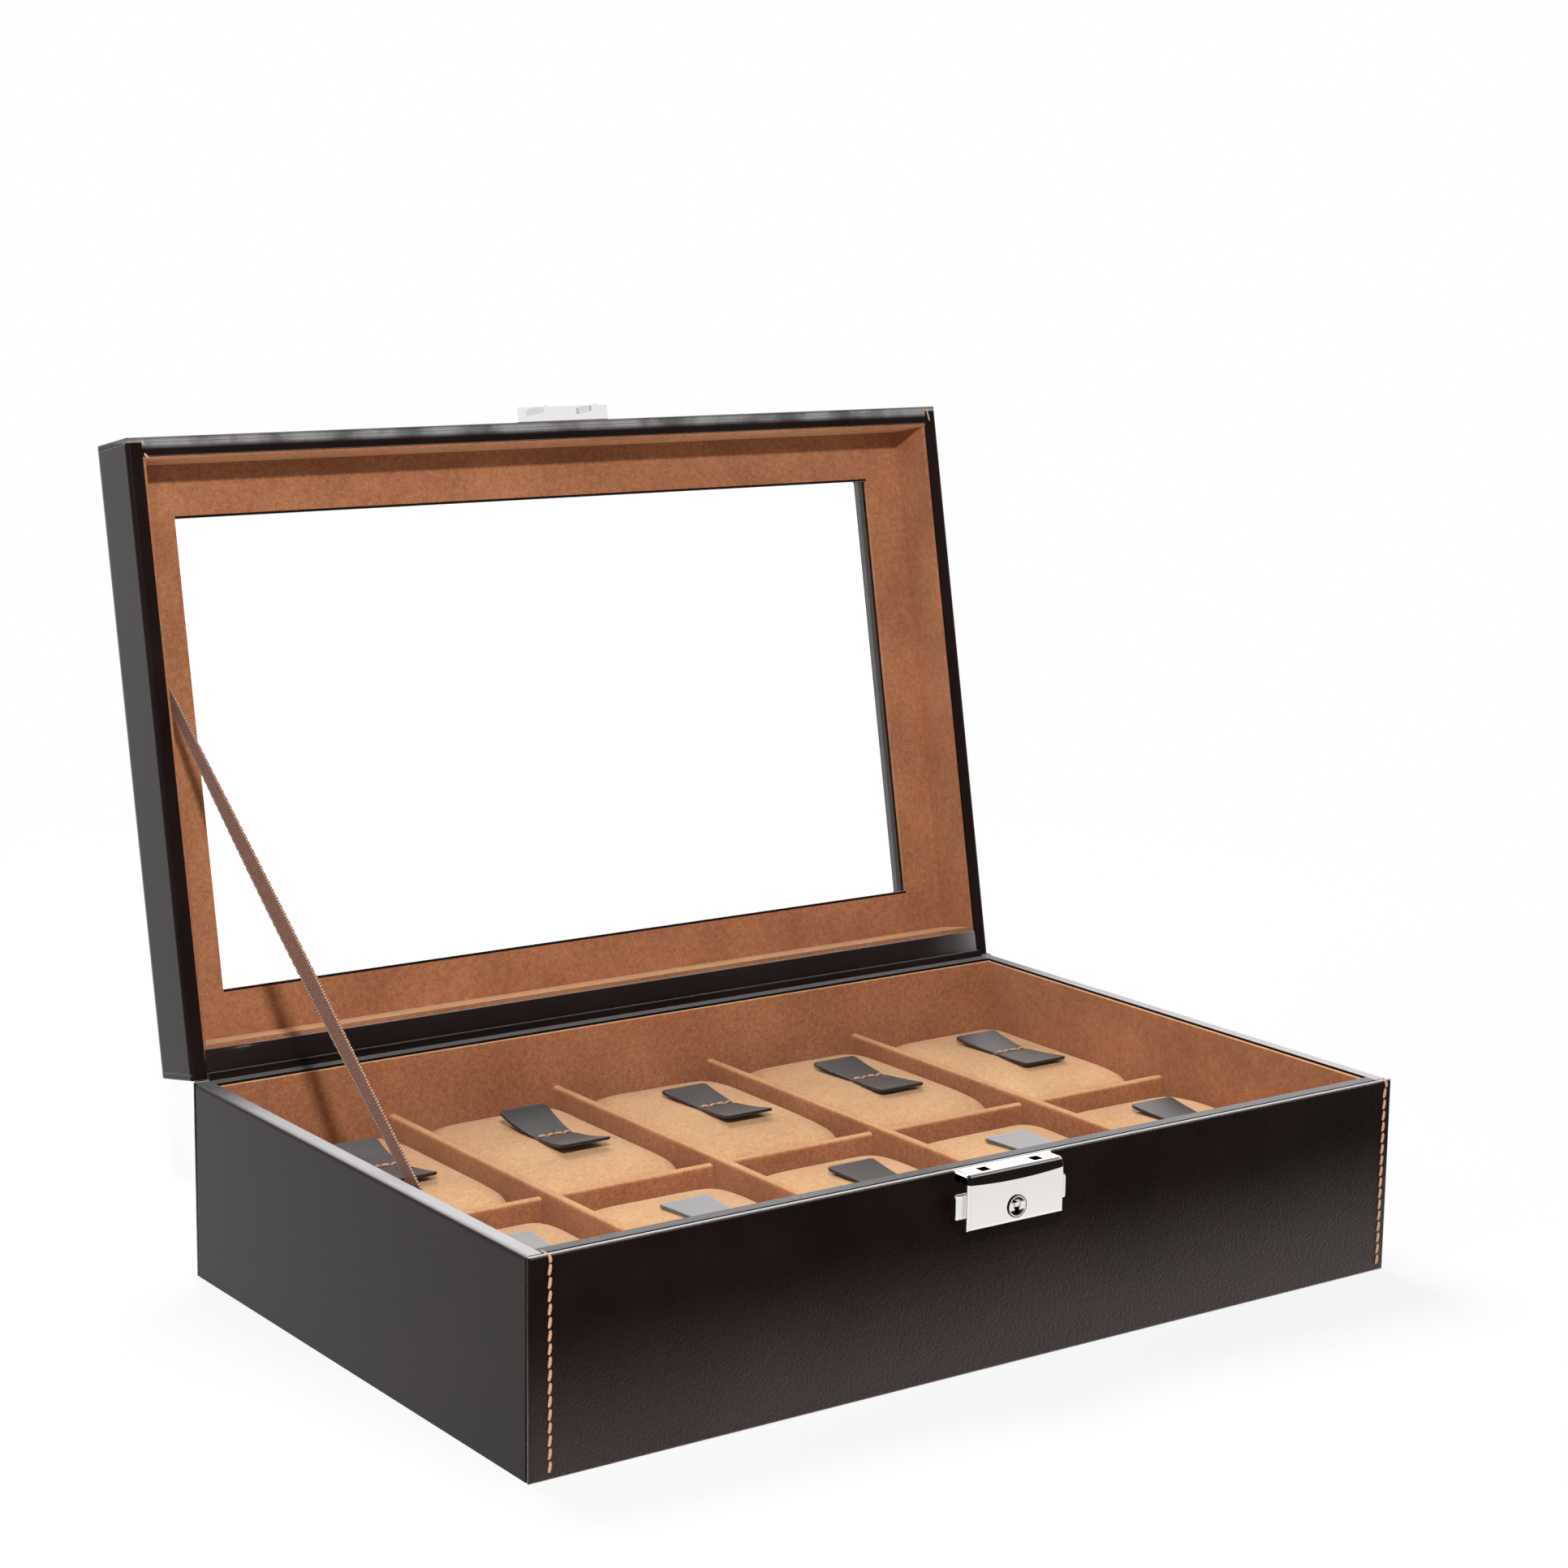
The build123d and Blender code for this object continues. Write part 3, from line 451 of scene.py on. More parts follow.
leatherFinish = leatherMaterial("darkLeather", caseLeather)
panelFinish = leatherMaterial("panelLeather", panelLeather)
sideFinish = leatherMaterial("sideLeather", sideLeather)
lidFrontFinish = leatherMaterial("lidFrontLeather", lidFrontLeather)
rollFinish = leatherMaterial("rollLeather", rollLeather)
tabFinish = leatherMaterial("tabLeather", tabLeather)
sheenPaintedTabFinish = leatherMaterial("sheenPaintedTabLeather", sheenPaintedTabLeather)
velvetFinish = velvetMaterial("tanVelvet", wallVelvet)
pillowFinish = velvetMaterial("pillowVelvetPaintedLit", pillowVelvetPaintedLit)


# metals, glass, board and the cloth under the case
wipingMarks = {"noise": (420.0, 3.0, 0.6), "least": 0.7, "most": 1.5}
steelLook = {"tone": (0.52, 0.52, 0.53), "roughness": 0.22}
chromeLook = {"tone": (0.82, 0.81, 0.80), "roughness": 0.05}
lockLook = {"tone": (0.84, 0.81, 0.80), "paintedDark": (0.012, 0.009, 0.007), "roughness": 0.05, "half": 18.5 * mm,
            "low": 61.1 * mm, "dip": 0.9 * mm, "high": 64.2 * mm, "soft": 0.15 * mm}
barrelLook = {"tone": (0.86, 0.84, 0.83), "paintedDark": (0.012, 0.010, 0.009), "roughness": 0.05,
              "height": 52.8 * mm, "ring": 3.15 * mm, "rim": 0.5 * mm, "soft": 0.1 * mm,
              "shade": (0.9 * mm, 1.5 * mm)}
glassLook = {"Roughness": 0.0, "Base Color": (0.998, 1.0, 0.999), "Transmission Weight": 1.0, "IOR": 1.46}
boardLook = {"roughness": 0.8, "specular": 0.2, "flecks": (700.0, 4.0, 0.7), "tones": (0.35, 0.65),
             "colours": [(0.22, 0.14, 0.08), (0.42, 0.30, 0.19)], "strength": 0.3, "depth": 0.1 * mm}
feltLook = {"roughness": 0.95, "specular": 0.15, "cells": 1900.0, "tones": (0.1, 0.7),
            "colours": [(0.030, 0.028, 0.027), (0.012, 0.011, 0.011)], "strength": 0.4, "depth": 0.15 * mm}


def metalMaterial(name, look):
    # polished metal with faint wiping marks that only show in its gloss
    inputs = {"Roughness": look["roughness"], "Metallic": 1.0, "Base Color": look["tone"]}
    material, tree, shader, place = newMaterial(name, inputs)
    least, most = [look["roughness"] * wipingMarks[end] for end in ("least", "most")]
    marks = noiseNode(tree, place, *wipingMarks["noise"])
    tree.links.new(rampNode(tree, marks, 0.0, 1.0, least, most, "LINEAR"), shader.inputs["Roughness"])
    return material, tree, shader, splitNode(tree, place)


def lockMaterial(name, look):
    # painted reflection: a dark band painted into the base colour below the bent top edge, for the dark
    # above that the top would mirror; it dips at its middle
    material, tree, shader, split = metalMaterial(name, look)
    dip = product(tree, squared(tree, mathNode(tree, "DIVIDE", split["X"], look["half"])), look["dip"])
    height = mathNode(tree, "SUBTRACT", split["Z"], dip)
    low = rampNode(tree, height, look["low"], look["low"] + look["soft"], 0.0, 1.0)
    high = rampNode(tree, split["Z"], look["high"], look["high"] + look["soft"], 1.0, 0.0)
    paintedBand = product(tree, low, high)
    tree.links.new(mixColours(tree, paintedBand, look["tone"], look["paintedDark"]), shader.inputs["Base Color"])
    return material


def barrelMaterial(name, look):
    # painted reflection: dark is painted into the base colour outside the ring, for the dark studio that the
    # rounded rim would mirror, and on the sunk face above and below its middle, which stays light
    material, tree, shader, split = metalMaterial(name, look)
    rise = mathNode(tree, "SUBTRACT", split["Z"], look["height"])
    radius = mathNode(tree, "SQRT", mathNode(tree, "ADD", squared(tree, rise), squared(tree, split["X"])))
    ring = rampNode(tree, radius, look["ring"], look["ring"] + look["soft"], 0.0, 1.0)
    sunk = rampNode(tree, mathNode(tree, "ABSOLUTE", rise), *look["shade"], 0.0, 1.0)
    inside = rampNode(tree, radius, look["ring"] - look["rim"], look["ring"], 1.0, 0.0)
    paintedDark = mathNode(tree, "MAXIMUM", ring, product(tree, sunk, inside))
    tree.links.new(mixColours(tree, paintedDark, look["tone"], look["paintedDark"]), shader.inputs["Base Color"])
    return material


def speckledMaterial(name, look):
    # flecks of noise, or small cells for a woven cloth, in tones that the bump follows
    inputs = {"Roughness": look["roughness"], "Specular IOR Level": look["specular"]}
    material, tree, shader, place = newMaterial(name, inputs)
    if "cells" in look:
        speckle = addNode(tree, "TexVoronoi", {"Vector": place, "Scale": look["cells"]}).outputs["Distance"]
    else:
        speckle = noiseNode(tree, place, *look["flecks"])
    tree.links.new(toneRamp(tree, speckle, look["colours"], *look["tones"]), shader.inputs["Base Color"])
    addBump(tree, shader, speckle, look)
    return material


chromeFinish = metalMaterial("polishedChrome", chromeLook)[0]
lockFinish = lockMaterial("lockChrome", lockLook)
barrelFinish = barrelMaterial("barrelChrome", barrelLook)
steelFinish = metalMaterial("springSteel", steelLook)[0]
glassFinish = newMaterial("windowGlass", glassLook)[0]
boardFinish = speckledMaterial("fibreBoard", boardLook)
feltFinish = speckledMaterial("baseFelt", feltLook)


def dressNode(name, material):
    mesh = nodes[name].data
    mesh.materials.clear()
    mesh.materials.append(material)


nodeFinishes = {
    panelFinish: ["base_front_cover", "base_back_cover"],
    sideFinish: ["base_left_cover", "base_right_cover"],
    lidFrontFinish: ["lid_front_cover", "lid_front_rim"],
    leatherFinish: ["base_front_rim", "lid_main_cover", "lid_back_cover", "inner_hinge_strip",
                    "outer_hinge_strip"],
    velvetFinish: ["base_front_lining", "base_back_lining", "base_left_lining", "base_right_lining",
                   "base_floor_lining", "long_dividers", "cross_dividers", "lid_front_lining",
                   "lid_back_lining", "lid_left_lining", "lid_right_lining", "window_frame_lining"],
    boardFinish: ["base_floor_board", "base_wall_boards", "lid_top_board", "lid_wall_boards"],
    lockFinish: ["lock_case"],
    barrelFinish: ["lock_barrel"],
    chromeFinish: ["lock_back_plate", "left_button", "right_button", "latch_plate"],
    steelFinish: ["lock_cam", "left_button_spring", "right_button_spring"],
    feltFinish: ["underside_cloth"],
    glassFinish: ["window_glass"],
}
for finish, names in nodeFinishes.items():
    for name in names:
        dressNode(name, finish)
print("watch case: materials ready")


# shapes made from stacks of closed rings of points
def wallFaces(rows, around):
    # quads between the neighbours of a stack of rings
    row, column = np.meshgrid(np.arange(rows - 1), np.arange(around), indexing="ij")
    after = (column + 1) % around
    corners = [row * around + column, row * around + after, (row + 1) * around + after,
               (row + 1) * around + column]
    return np.stack(corners, axis=-1).reshape(-1, 4).tolist()


def tubeFaces(rows, around, turned):
    # the walls and both end caps of a stack of rings, facing the other way where turned is set
    caps = [list(range(around))[::-1], list(range((rows - 1) * around, rows * around))]
    faces = wallFaces(rows, around) + caps
    return [face[::-1] for face in faces] if turned else faces


def newPiece(name, points, faces, material, uv=None):
    mesh = bpy.data.meshes.new(name)
    mesh.from_pydata(np.asarray(points, float).reshape(-1, 3).tolist(), [], faces)
    if uv is not None:
        layer = mesh.uv_layers.new(name="UVMap")
        corner = np.empty(len(mesh.loops), int)
        mesh.loops.foreach_get("vertex_index", corner)
        layer.data.foreach_set("uv", np.asarray(uv, float).reshape(-1, 2)[corner].ravel())
    mesh.polygons.foreach_set("use_smooth", np.ones(len(mesh.polygons), bool))
    mesh.materials.append(material)
    piece = bpy.data.objects.new(name, mesh)
    scene.collection.objects.link(piece)
    return piece


def unit(vectors):
    return vectors / np.linalg.norm(vectors, axis=-1, keepdims=True)


# stitches, all of one thread
threadMesh = {"rings": 11, "sides": 10, "flat": 0.75, "blunt": 5.0, "inset": 0.08}
threadLook = {"roughness": 0.62, "specular": 0.35, "sheen": 0.15, "twist": 3.2, "plyShare": 0.07,
              "fibres": (4200.0, 2.0, 0.6), "tones": (0.3, 0.72), "strength": 0.6, "depth": 0.12 * mm,
              "colours": [(0.42, 0.20, 0.095), (0.66, 0.35, 0.19), (0.80, 0.47, 0.28)]}


def threadRun(name, starts, ends, normals, radius, lift, material):
    # each stitch is a blunt-ended bead from one hole to the next, flattened along the surface's normal. It
    # runs along a low arch whose height is the root of one minus the square of the place along it
    starts, ends = np.asarray(starts, float), np.asarray(ends, float)
    normals = unit(np.broadcast_to(np.asarray(normals, float), starts.shape))
    rings, sides = threadMesh["rings"], threadMesh["sides"]
    along = -np.cos(np.linspace(threadMesh["inset"], np.pi - threadMesh["inset"], rings))
    turn = np.linspace(0, 2 * np.pi, sides, endpoint=False)
    forward = unit(ends - starts)
    across = unit(np.cross(normals, forward))
    upward = np.cross(forward, across)
    half = np.linalg.norm(ends - starts, axis=-1)[:, None] / 2
    arch = lift * np.sqrt(1 - along ** 2)
    girth = radius * np.sqrt(1 - np.abs(along) ** threadMesh["blunt"])
    spine = (starts + ends)[:, None] / 2 + forward[:, None] * (half * along)[..., None]
    spine = spine + upward[:, None] * arch[None, :, None]
    sideways = across[:, None, None] * (girth[:, None] * np.cos(turn))[None, ..., None]
    height = upward[:, None, None] * (threadMesh["flat"] * girth[:, None] * np.sin(turn))[None, ..., None]
    points = spine[:, :, None] + sideways + height
    tube = tubeFaces(rings, sides, True)
    firsts = range(0, len(starts) * rings * sides, rings * sides)
    faces = [[corner + first for corner in face] for first in firsts for face in tube]
    uv = np.stack(np.broadcast_arrays((half * along)[..., None] / radius, turn / (2 * np.pi)), axis=-1)
    return newPiece(name, points, faces, material, uv)


def threadMaterial(name, look):
    # two plies that twist round each other: a sine of the place along plus the place round, from the UV
    inputs = {"Roughness": look["roughness"], "Specular IOR Level": look["specular"],
              "Sheen Weight": look["sheen"]}
    material, tree, shader, place = newMaterial(name, inputs)
    split = splitNode(tree, placeValue(tree, "UV"))
    turned = product(tree, split["Y"], 4 * math.pi)
    plies = mathNode(tree, "SINE", mathNode(tree, "ADD", product(tree, split["X"], look["twist"]), turned))
    fibres = noiseNode(tree, place, *look["fibres"])
    tone = mathNode(tree, "ADD", product(tree, plies, look["plyShare"]), fibres)
    tree.links.new(toneRamp(tree, tone, look["colours"], *look["tones"]), shader.inputs["Base Color"])
    addBump(tree, shader, tone, look)
    return material


threadFinish = threadMaterial("tanThread", threadLook)

# pillows: a superellipsoid, remeshed and settled as inflated cloth, in a few versions that repeat
layout = {"columnPitch": 64.08 * mm, "rowPitch": 98.2 * mm, "columns": 5, "rows": 2}
pillowShape = {"halfWidth": 28.9 * mm, "halfLength": 43.7 * mm, "bottom": 6.8 * mm, "top": 44.6 * mm,
               "planPower": 10.0, "heightPower": 5.0, "rowTops": (42.6 * mm, 44.6 * mm),
               "rings": 40, "around": 96, "shrink": 0.985, "stride": 2,
               "voxel": 0.0045, "frames": 14, "growth": 0.9 * mm, "nearlyZero": 1e-9,
               "lean": [(0.0, 0.0), (0.35 * mm, 1.0), (-0.35 * mm, 2.2)], "leanWaves": 3,
               "cloth": {"quality": 6, "mass": 0.35, "tension_stiffness": 25, "compression_stiffness": 25,
                         "bending_stiffness": 3, "use_pressure": True, "uniform_pressure_force": 4.0}}


def superPower(values, power):
    return np.sign(values) * np.abs(values) ** (2 / power)


def pillowGrid(look, lean, phase):
    # each ring is a rounded rectangle whose size and height follow a second rounded curve from pole to pole
    climb = np.linspace(-np.pi / 2, np.pi / 2, look["rings"])[1:-1]
    turn = np.linspace(0, 2 * np.pi, look["around"], endpoint=False)
    reach = superPower(np.cos(climb), look["heightPower"])[:, None]
    rise = superPower(np.sin(climb), look["heightPower"])[:, None]
    x = look["halfWidth"] * reach * superPower(np.cos(turn), look["planPower"])
    y = look["halfLength"] * reach * superPower(np.sin(turn), look["planPower"])
    halfHeight = (look["top"] - look["bottom"]) / 2
    z = halfHeight * rise * np.ones_like(turn)
    z = z + lean * np.sin(look["leanWaves"] * turn + phase) * reach
    points = np.stack([x, y, z], axis=-1).reshape(-1, 3) * look["shrink"]
    poles = np.array([[0, 0, -halfHeight], [0, 0, halfHeight]]) * look["shrink"]
    return np.vstack([points, poles])


def simulateCloth(piece, look):
    # a short, gentle inflation, with gravity off, so that the fabric rounds itself between its seams. Each
    # point keeps no more than the growth allowed
    cloth = piece.modifiers.new("cloth", "CLOTH")
    for setting, value in look["cloth"].items():
        setattr(cloth.settings, setting, value)
    cloth.settings.effector_weights.gravity = 0
    cloth.collision_settings.use_collision = False
    cloth.point_cache.frame_start = 1
    cloth.point_cache.frame_end = look["frames"]
    start = np.empty(len(piece.data.vertices) * 3)
    piece.data.vertices.foreach_get("co", start)
    for frameNumber in range(1, look["frames"] + 1):
        scene.frame_set(frameNumber)
    settled = piece.evaluated_get(bpy.context.evaluated_depsgraph_get())
    end = np.empty(len(settled.data.vertices) * 3)
    settled.data.vertices.foreach_get("co", end)
    piece.modifiers.clear()
    change = (end - start).reshape(-1, 3)
    length = np.linalg.norm(change, axis=1, keepdims=True)
    change *= np.minimum(1, look["growth"] / np.maximum(length, look["nearlyZero"]))
    piece.data.vertices.foreach_set("co", (start.reshape(-1, 3) + change).ravel())
    scene.frame_set(1)


def buildPillowMesh(look, number):
    rows, around = look["rings"] - 2, look["around"]
    points = pillowGrid(look, *look["lean"][number])
    ring = np.arange(around)
    following = (ring + 1) % around
    lowFan = np.stack([following, ring, np.full(around, rows * around)], axis=-1).tolist()
    last = (rows - 1) * around
    highFan = np.stack([last + ring, last + following, np.full(around, rows * around + 1)], axis=-1).tolist()
    faces = wallFaces(rows, around) + lowFan + highFan
    piece = newPiece("pillowVersion." + str(number), points, faces, pillowFinish)
    remesh = piece.modifiers.new("remesh", "REMESH")
    remesh.mode = "VOXEL"
    remesh.voxel_size = look["voxel"]
    bpy.context.view_layer.objects.active = piece
    bpy.ops.object.modifier_apply(modifier="remesh")
    simulateCloth(piece, look)
    finer = piece.modifiers.new("finer", "SUBSURF")
    finer.levels = finer.render_levels = 1
    bpy.ops.object.modifier_apply(modifier="finer")
    piece.data.polygons.foreach_set("use_smooth", np.ones(len(piece.data.polygons), bool))
    mesh = piece.data
    bpy.data.objects.remove(piece)
    return mesh


def placePillow(number, centre, top):
    # a version moved to its place and pressed to its row's height, with its object left at the origin
    look = pillowShape
    mesh = pillowMeshes[(number * look["stride"]) % len(pillowMeshes)].copy()
    points = np.empty(len(mesh.vertices) * 3)
    mesh.vertices.foreach_get("co", points)
    pressed = (top - look["bottom"]) / (look["top"] - look["bottom"])
    middle = [centre[0], centre[1], (top + look["bottom"]) / 2]
    mesh.vertices.foreach_set("co", (points.reshape(-1, 3) * [1, 1, pressed] + middle).ravel())
    mesh.update()
    piece = bpy.data.objects.new("softPillow." + str(number), mesh)
    scene.collection.objects.link(piece)
    node = "pillow_" + str(number)
    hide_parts(node)
    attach(piece, node)


pillowMeshes = [buildPillowMesh(pillowShape, number) for number in range(len(pillowShape["lean"]))]
# the ten places, front row first: each has its row, its column, its centre and its pillow's top
pillowPlaces = []
for row in range(layout["rows"]):
    for column in range(layout["columns"]):
        pillowCentre = ((column - (layout["columns"] - 1) / 2) * layout["columnPitch"],
                        (row - (layout["rows"] - 1) / 2) * layout["rowPitch"])
        pillowPlaces.append((row, column, pillowCentre, pillowShape["rowTops"][row]))
for number, (row, column, centre, top) in enumerate(pillowPlaces):
    placePillow(number + 1, centre, top)
print("watch case: pillows placed")

# pull tabs: a leather shape with a waist, sewn down along its middle, its two ends standing off the pillow
tabShape = {"length": 41.0 * mm, "width": 18.9 * mm, "waist": 14.0 * mm, "corner": 1.6 * mm,
            "waistRound": 9 * mm, "thickness": 1.1 * mm, "seat": 0.1 * mm, "around": 132, "rings": 26,
            "arcSteps": 9, "rimSteps": 9, "middle": 0.04, "crease": 1.6 * mm, "dent": 0.35 * mm,
            "sewn": 2.2 * mm, "straight": 0.35, "bowed": 0.65, "sheenPaintedTabs": (1, 2, 4)}
tabShifts = [0.0, -3.0 * mm]
tabCurls = [[(1.0, 0.2), (1.0, 0.2), (1.6, 1.2), (1.0, 0.3), (1.2, 1.6)],
            [(2.0, 3.0), (3.0, 4.4), (2.4, 1.4), (1.4, 1.6), (1.2, 1.8)]]
tabSeam = {"count": 4, "pitch": 3.1 * mm, "sway": 0.5 * mm, "reach": 0.44, "radius": 0.55 * mm,
           "lift": 0.35 * mm, "sunk": 0.25 * mm}


def roundedOutline(corners, radii, steps):
    # a closed outline through straight sides, with an arc of the given radius at each corner
    corners = np.asarray(corners, float)
    before = unit(np.roll(corners, 1, axis=0) - corners)
    after = unit(np.roll(corners, -1, axis=0) - corners)
    halfAngle = np.arccos(np.clip((before * after).sum(axis=-1), -1, 1)) / 2
    radii = np.asarray(radii, float)
    cut = radii / np.tan(halfAngle)
    centre = corners + unit(before + after) * (radii / np.sin(halfAngle))[:, None]
    share = np.linspace(0, 1, steps)[:, None]
    first = corners + before * cut[:, None] - centre
    last = corners + after * cut[:, None] - centre
    sweep = np.pi - 2 * halfAngle
    firstShare = np.sin((1 - share) * sweep) / np.sin(sweep)
    lastShare = np.sin(share * sweep) / np.sin(sweep)
    arcs = centre + first * firstShare[..., None] + last * lastShare[..., None]
    return arcs.transpose(1, 0, 2).reshape(-1, 2)


def evenly(outline, count):
    # the same closed outline as points at equal steps along it
    closed = np.vstack([outline, outline[:1]])
    place = np.concatenate([[0], np.cumsum(np.linalg.norm(np.diff(closed, axis=0), axis=1))])
    wanted = np.linspace(0, place[-1], count, endpoint=False)
    return np.stack([np.interp(wanted, place, values) for values in closed.T], axis=-1)


def tabRise(look, curls, y):
    # how far the tab stands above its seat: nothing at the stitches, then an arc to each end's curl in mm
    out = np.clip((np.abs(y) - look["sewn"]) / (look["length"] / 2 - look["sewn"]), 0, 1)
    return np.where(y < 0, *curls) * mm * (look["straight"] * out + look["bowed"] * out ** 2)


def buildTab(number, centre, top, curls):
    look = tabShape
    width, waist, length = look["width"] / 2, look["waist"] / 2, look["length"] / 2
    corners = [(width, length), (-width, length), (-waist, 0), (-width, -length), (width, -length),
               (waist, 0)]
    radii = [look["corner"], look["corner"], look["waistRound"]] * 2
    outline = evenly(roundedOutline(corners, radii, look["arcSteps"]), look["around"])
    tangent = unit(np.roll(outline, -1, axis=0) - np.roll(outline, 1, axis=0))
    outward = np.stack([tangent[:, 1], -tangent[:, 0]], axis=-1)
    half = look["thickness"] / 2
    inner = outline - outward * half
    scale = np.linspace(look["middle"], 1, look["rings"])
    bend = np.linspace(np.pi / 2, -np.pi / 2, look["rimSteps"])[1:-1]
    disc = inner[None] * scale[:, None, None]
    rim = inner[None] + outward[None] * (half * np.cos(bend))[:, None, None]
    flat = np.concatenate([disc, rim, disc[::-1]])
    level = np.full(look["rings"], half)
    height = np.concatenate([level, half * np.sin(bend), -level])
    rise = tabRise(look, curls, flat[..., 1])
    dent = -look["dent"] * np.exp(-(flat[..., 1] / look["crease"]) ** 2) * (height > 0)[:, None]
    z = top + look["seat"] + half + height[:, None] + rise + dent
    points = np.concatenate([flat + np.asarray(centre), z[..., None]], axis=-1)
    # the listed tabs take the copy with the stronger painted grazing sheen
    finish = sheenPaintedTabFinish if number in look["sheenPaintedTabs"] else tabFinish
    piece = newPiece("pullTab." + str(number), points, tubeFaces(*points.shape[:2], True), finish)
    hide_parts("tab_" + str(number))
    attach(piece, "pillow_" + str(number))


def tabStitches(look, number, centre, top):
    # a short wavy row across the tab's waist
    place = centre[0] + (np.arange(look["count"]) - (look["count"] - 1) / 2) * look["pitch"]
    sway = look["sway"] * (-1.0) ** np.arange(look["count"])
    height = np.full(look["count"], top + tabShape["seat"] + tabShape["thickness"] - look["sunk"])
    step = look["reach"] * look["pitch"]
    starts = np.stack([place - step, centre[1] + sway, height], axis=-1)
    ends = np.stack([place + step, centre[1] - sway, height], axis=-1)
    piece = threadRun("tabStitches." + str(number), starts, ends, (0, 0, 1), look["radius"], look["lift"],
                      threadFinish)
    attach(piece, "pillow_" + str(number))


for number, (row, column, (x, y), top) in enumerate(pillowPlaces):
    buildTab(number + 1, (x, y + tabShifts[row]), top, tabCurls[row][column])
for number, (row, column, (x, y), top) in enumerate(pillowPlaces):
    tabStitches(tabSeam, number + 1, (x, y + tabShifts[row]), top)
print("watch case: tabs placed")


# the front panel's two columns of stitches
frontStitches = {"columns": (-158.6 * mm, 161.8 * mm), "face": -104.0 * mm, "low": 2.0 * mm,
                 "high": 62.6 * mm, "count": 16, "gap": 0.06, "slant": 0.28 * mm, "radius": 0.52 * mm,
                 "lift": 0.25 * mm}


def buildFrontStitches(look):
    edges = np.linspace(look["low"], look["high"], look["count"] + 1)
    gap = look["gap"] * (edges[1] - edges[0])
    face = np.full(look["count"], look["face"])
    starts, ends = [], []
    for column in look["columns"]:
        for holes, across, heights in ((starts, column - look["slant"], edges[:-1] + gap),
                                       (ends, column + look["slant"], edges[1:] - gap)):
            holes.append(np.stack([np.full(look["count"], across), face, heights], axis=-1))
    piece = threadRun("frontStitches", np.vstack(starts), np.vstack(ends), (0, -1, 0), look["radius"],
                      look["lift"], threadFinish)
    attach(piece, "case")


buildFrontStitches(frontStitches)


# single stitches that show on the rims: pairs of holes in mm, by x and y on the case, and by x and the
# distance from the hinge on the lid
rimStitches = {"radius": 0.5 * mm, "lift": 0.05 * mm, "sunk": 0.3 * mm, "caseTop": 64.7 * mm,
               "overFrom": (0, 0.1, 0.3), "overTo": (0.1, -0.3, -2.1), "overLift": 0.75 * mm,
               "case": [((-158.5, -98.9), (-158.8, -103.8)), ((161.6, -98.9), (161.9, -103.8))],
               "lid": [((-159.7, 207.0), (-158.6, 205.2)), ((-159.3, 202.8), (-157.7, 201.0)),
                       ((160.6, 207.6), (161.8, 202.0))]}


def buildRimStitches(look):
    ends = np.array(look["case"]) * mm
    level = np.full(ends.shape[:2] + (1,), look["caseTop"])
    ends = np.concatenate([ends, level], axis=-1)
    piece = threadRun("caseRimStitches", ends[:, 0], ends[:, 1], (0, 0, 1), look["radius"], look["lift"],
                      threadFinish)
    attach(piece, "case")
    starts = ends[:, 1] + np.array(look["overFrom"]) * mm
    over = ends[:, 1] + np.array(look["overTo"]) * mm
    piece = threadRun("caseEdgeStitches", starts, over, (0, -1, 1), look["radius"], look["overLift"],
                      threadFinish)
    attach(piece, "case")
    places = np.array(look["lid"]) * mm
    ends = hingePoint + places[..., 1:] * alongLid + outOfLid * (lid["seam"] + look["sunk"])
    ends[..., 0] = places[..., 0]
    piece = threadRun("lidRimStitches", ends[:, 0], ends[:, 1], -outOfLid, look["radius"], look["lift"],
                      threadFinish)
    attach(piece, "lid")


buildRimStitches(rimStitches)


# leather beads that close the rims' corners beside the hinge strips
hingeBeads = {"inner": 159.9 * mm, "outer": 164.7 * mm, "y": 103.5 * mm, "z": 64.97 * mm,
              "radius": 0.42 * mm}


def buildHingeBeads(look):
    starts, ends = [[[side * look[end], look["y"], look["z"]] for side in (-1, 1)]
                    for end in ("inner", "outer")]
    piece = threadRun("hingeBeads", starts, ends, (0, 0, 1), look["radius"], 0.0, leatherFinish)
    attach(piece, "case")


buildHingeBeads(hingeBeads)


# the padded leather roll along the lid's hinge side, a straight bar with a superellipse as its section
lidRoll = {"half": 159.3 * mm, "places": (0.9 * mm, 9.5 * mm), "heights": (0.1 * mm, 2.3 * mm), "power": 4.0,
           "around": 40, "rings": 12}


def buildLidRoll(look):
    turn = np.linspace(0, 2 * np.pi, look["around"], endpoint=False)
    (near, far), (low, high) = look["places"], look["heights"]
    place = (near + far) / 2 + (far - near) / 2 * superPower(np.cos(turn), look["power"])
    height = (low + high) / 2 + (high - low) / 2 * superPower(np.sin(turn), look["power"])
    section = hingePoint + place[:, None] * alongLid + height[:, None] * outOfLid
    along = np.linspace(-look["half"], look["half"], look["rings"])
    points = section[None] + np.stack([along, 0 * along, 0 * along], axis=-1)[:, None]
    piece = newPiece("lidHingeRoll", points, tubeFaces(look["rings"], look["around"], False), rollFinish)
    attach(piece, "lid")


buildLidRoll(lidRoll)


# a velvet lip beyond the roll, and dark turned edges along the window's front and back sides: straight bars
# across the lid, by their places from the hinge and their heights through the lid, in mm
lidLip = {"half": 158.3 * mm, "places": (8.9, 10.9), "heights": (1.6, 18.1)}
windowEdges = {"half": 142.4 * mm, "places": ((25.8, 26.6), (182.5, 183.3)), "heights": (18.1, 19.6)}


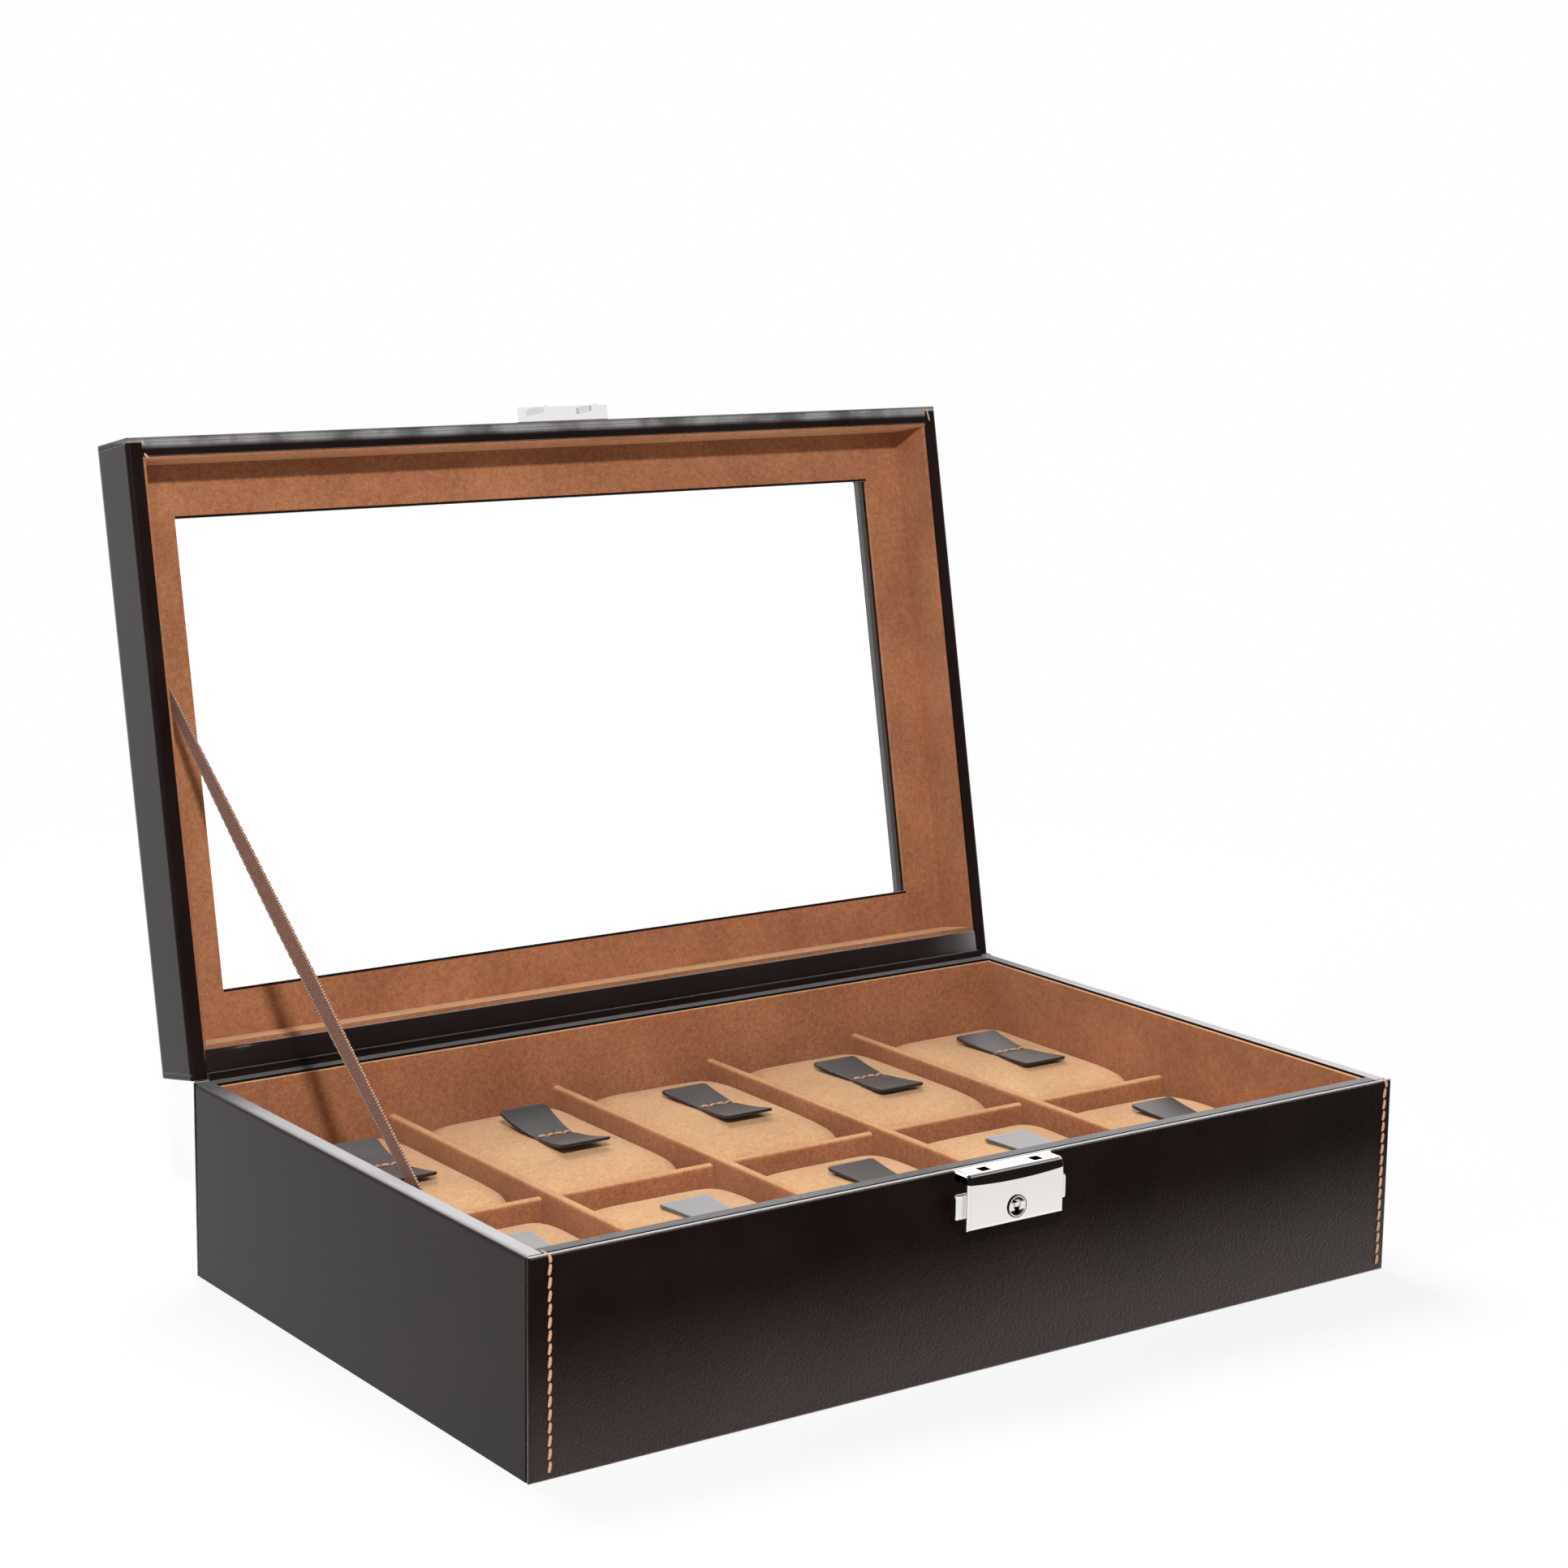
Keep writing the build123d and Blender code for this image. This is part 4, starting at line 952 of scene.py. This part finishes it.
def lidBar(name, look, places, material):
    (near, far), (low, high) = np.array(places) * mm, np.array(look["heights"]) * mm
    corners = [(near, low), (far, low), (far, high), (near, high)]
    ring = np.array([hingePoint + place * alongLid + height * outOfLid for place, height in corners])
    points = np.concatenate([ring + [side * look["half"], 0, 0] for side in (-1, 1)])
    piece = newPiece(name, points, tubeFaces(2, len(corners), False), material)
    piece.data.polygons.foreach_set("use_smooth", np.zeros(len(piece.data.polygons), bool))
    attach(piece, "lid")


lidBar("lidLipLining", lidLip, lidLip["places"], velvetFinish)
for number, places in enumerate(windowEdges["places"]):
    lidBar("windowEdge." + str(number + 1), windowEdges, places, leatherFinish)


# the ribbon stay: a flat woven strip with looped edges, nearly straight, with a slight twist
ribbonShape = {"x": -158.1 * mm, "foot": (-27.6 * mm, 65.0 * mm), "reach": 121.5 * mm, "tail": 8.5 * mm,
               "width": 5.2 * mm, "thickness": 0.36 * mm, "rows": 260, "columns": 9, "twist": 24.0,
               "picot": 0.30 * mm, "picotPitch": 1.1 * mm, "shift": 0.5 * mm}
ribbonLook = {"roughness": 0.6, "specular": 0.2, "sheen": 0.05, "ribs": 0.75 * mm, "warp": 0.45 * mm,
              "weaveShare": 0.14, "fibres": (2600.0, 2.0, 0.6), "strength": 0.5, "depth": 0.1 * mm,
              "colours": [(0.085, 0.036, 0.025), (0.165, 0.075, 0.055), (0.26, 0.130, 0.098)],
              "loopPlace": (2.1 * mm, 2.35 * mm), "loopWave": (-0.3, 0.3), "loopShare": 0.9,
              "loopColour": (0.72, 0.44, 0.29)}


def ribbonMaterial(name, look):
    # satin weave: fine ribs across the strip, with a pale dot for each loop, from the piece's UV in metres
    inputs = {"Roughness": look["roughness"], "Specular IOR Level": look["specular"],
              "Sheen Weight": look["sheen"]}
    material, tree, shader, place = newMaterial(name, inputs)
    split = splitNode(tree, placeValue(tree, "UV"))
    weave = product(tree, wave(tree, split["X"], look["ribs"]), wave(tree, split["Y"], look["warp"]))
    fibres = noiseNode(tree, place, *look["fibres"])
    tone = mathNode(tree, "ADD", product(tree, weave, look["weaveShare"]), fibres)
    cloth = toneRamp(tree, tone, look["colours"], *middleTones)
    fromMiddle = mathNode(tree, "ABSOLUTE", split["Y"])
    dots = rampNode(tree, wave(tree, split["X"], ribbonShape["picotPitch"]), *look["loopWave"], 0.0,
                    look["loopShare"])
    loops = product(tree, rampNode(tree, fromMiddle, *look["loopPlace"], 0.0, 1.0), dots)
    tree.links.new(mixColours(tree, loops, cloth, look["loopColour"]), shader.inputs["Base Color"])
    addBump(tree, shader, tone, look)
    return material


def buildRibbon(look):
    foot = np.array(look["foot"])
    head = hingePoint[1:] + look["reach"] * alongLid[1:]
    line = (head - foot) / np.linalg.norm(head - foot)
    across = np.array([-line[1], line[0]])
    length = np.linalg.norm(head - foot) + 2 * look["tail"]
    along = np.linspace(0, 1, look["rows"])[:, None]
    offset = np.linspace(-1, 1, look["columns"])
    edge = np.abs(offset) == 1
    loops = look["picot"] * np.abs(np.sin(np.pi * along * length / look["picotPitch"]))
    reach = look["width"] / 2 * offset + np.where(edge, np.sign(offset) * loops, 0)
    twist = math.radians(look["twist"]) * np.sin(np.pi * along) ** 2
    centre = foot - line * look["tail"] + line * length * along
    inPlane = reach * np.cos(twist)
    x = look["x"] + (reach * np.sin(twist) - look["shift"] * np.sin(np.pi * along))
    y = centre[:, :1] + across[0] * inPlane
    z = centre[:, 1:] + across[1] * inPlane
    flat = np.ones_like(reach)
    normal = np.stack([np.cos(twist) * flat, -np.sin(twist) * across[0] * flat,
                       -np.sin(twist) * across[1] * flat], axis=-1)
    middle = np.stack([x, y, z], axis=-1)
    half = look["thickness"] / 2
    rim = np.concatenate([middle + normal * half, (middle - normal * half)[:, ::-1]], axis=1)
    rows, around = rim.shape[:2]
    u = np.broadcast_to(along * length, (rows, around))
    v = np.concatenate([reach, reach[:, ::-1]], axis=1)
    piece = newPiece("wovenRibbon", rim, tubeFaces(rows, around, True),
                     ribbonMaterial("brownRibbon", ribbonLook), np.stack([u, v], axis=-1))
    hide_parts("stay_ribbon")
    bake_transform(piece)


buildRibbon(ribbonShape)
print("watch case: stitches and ribbon placed")
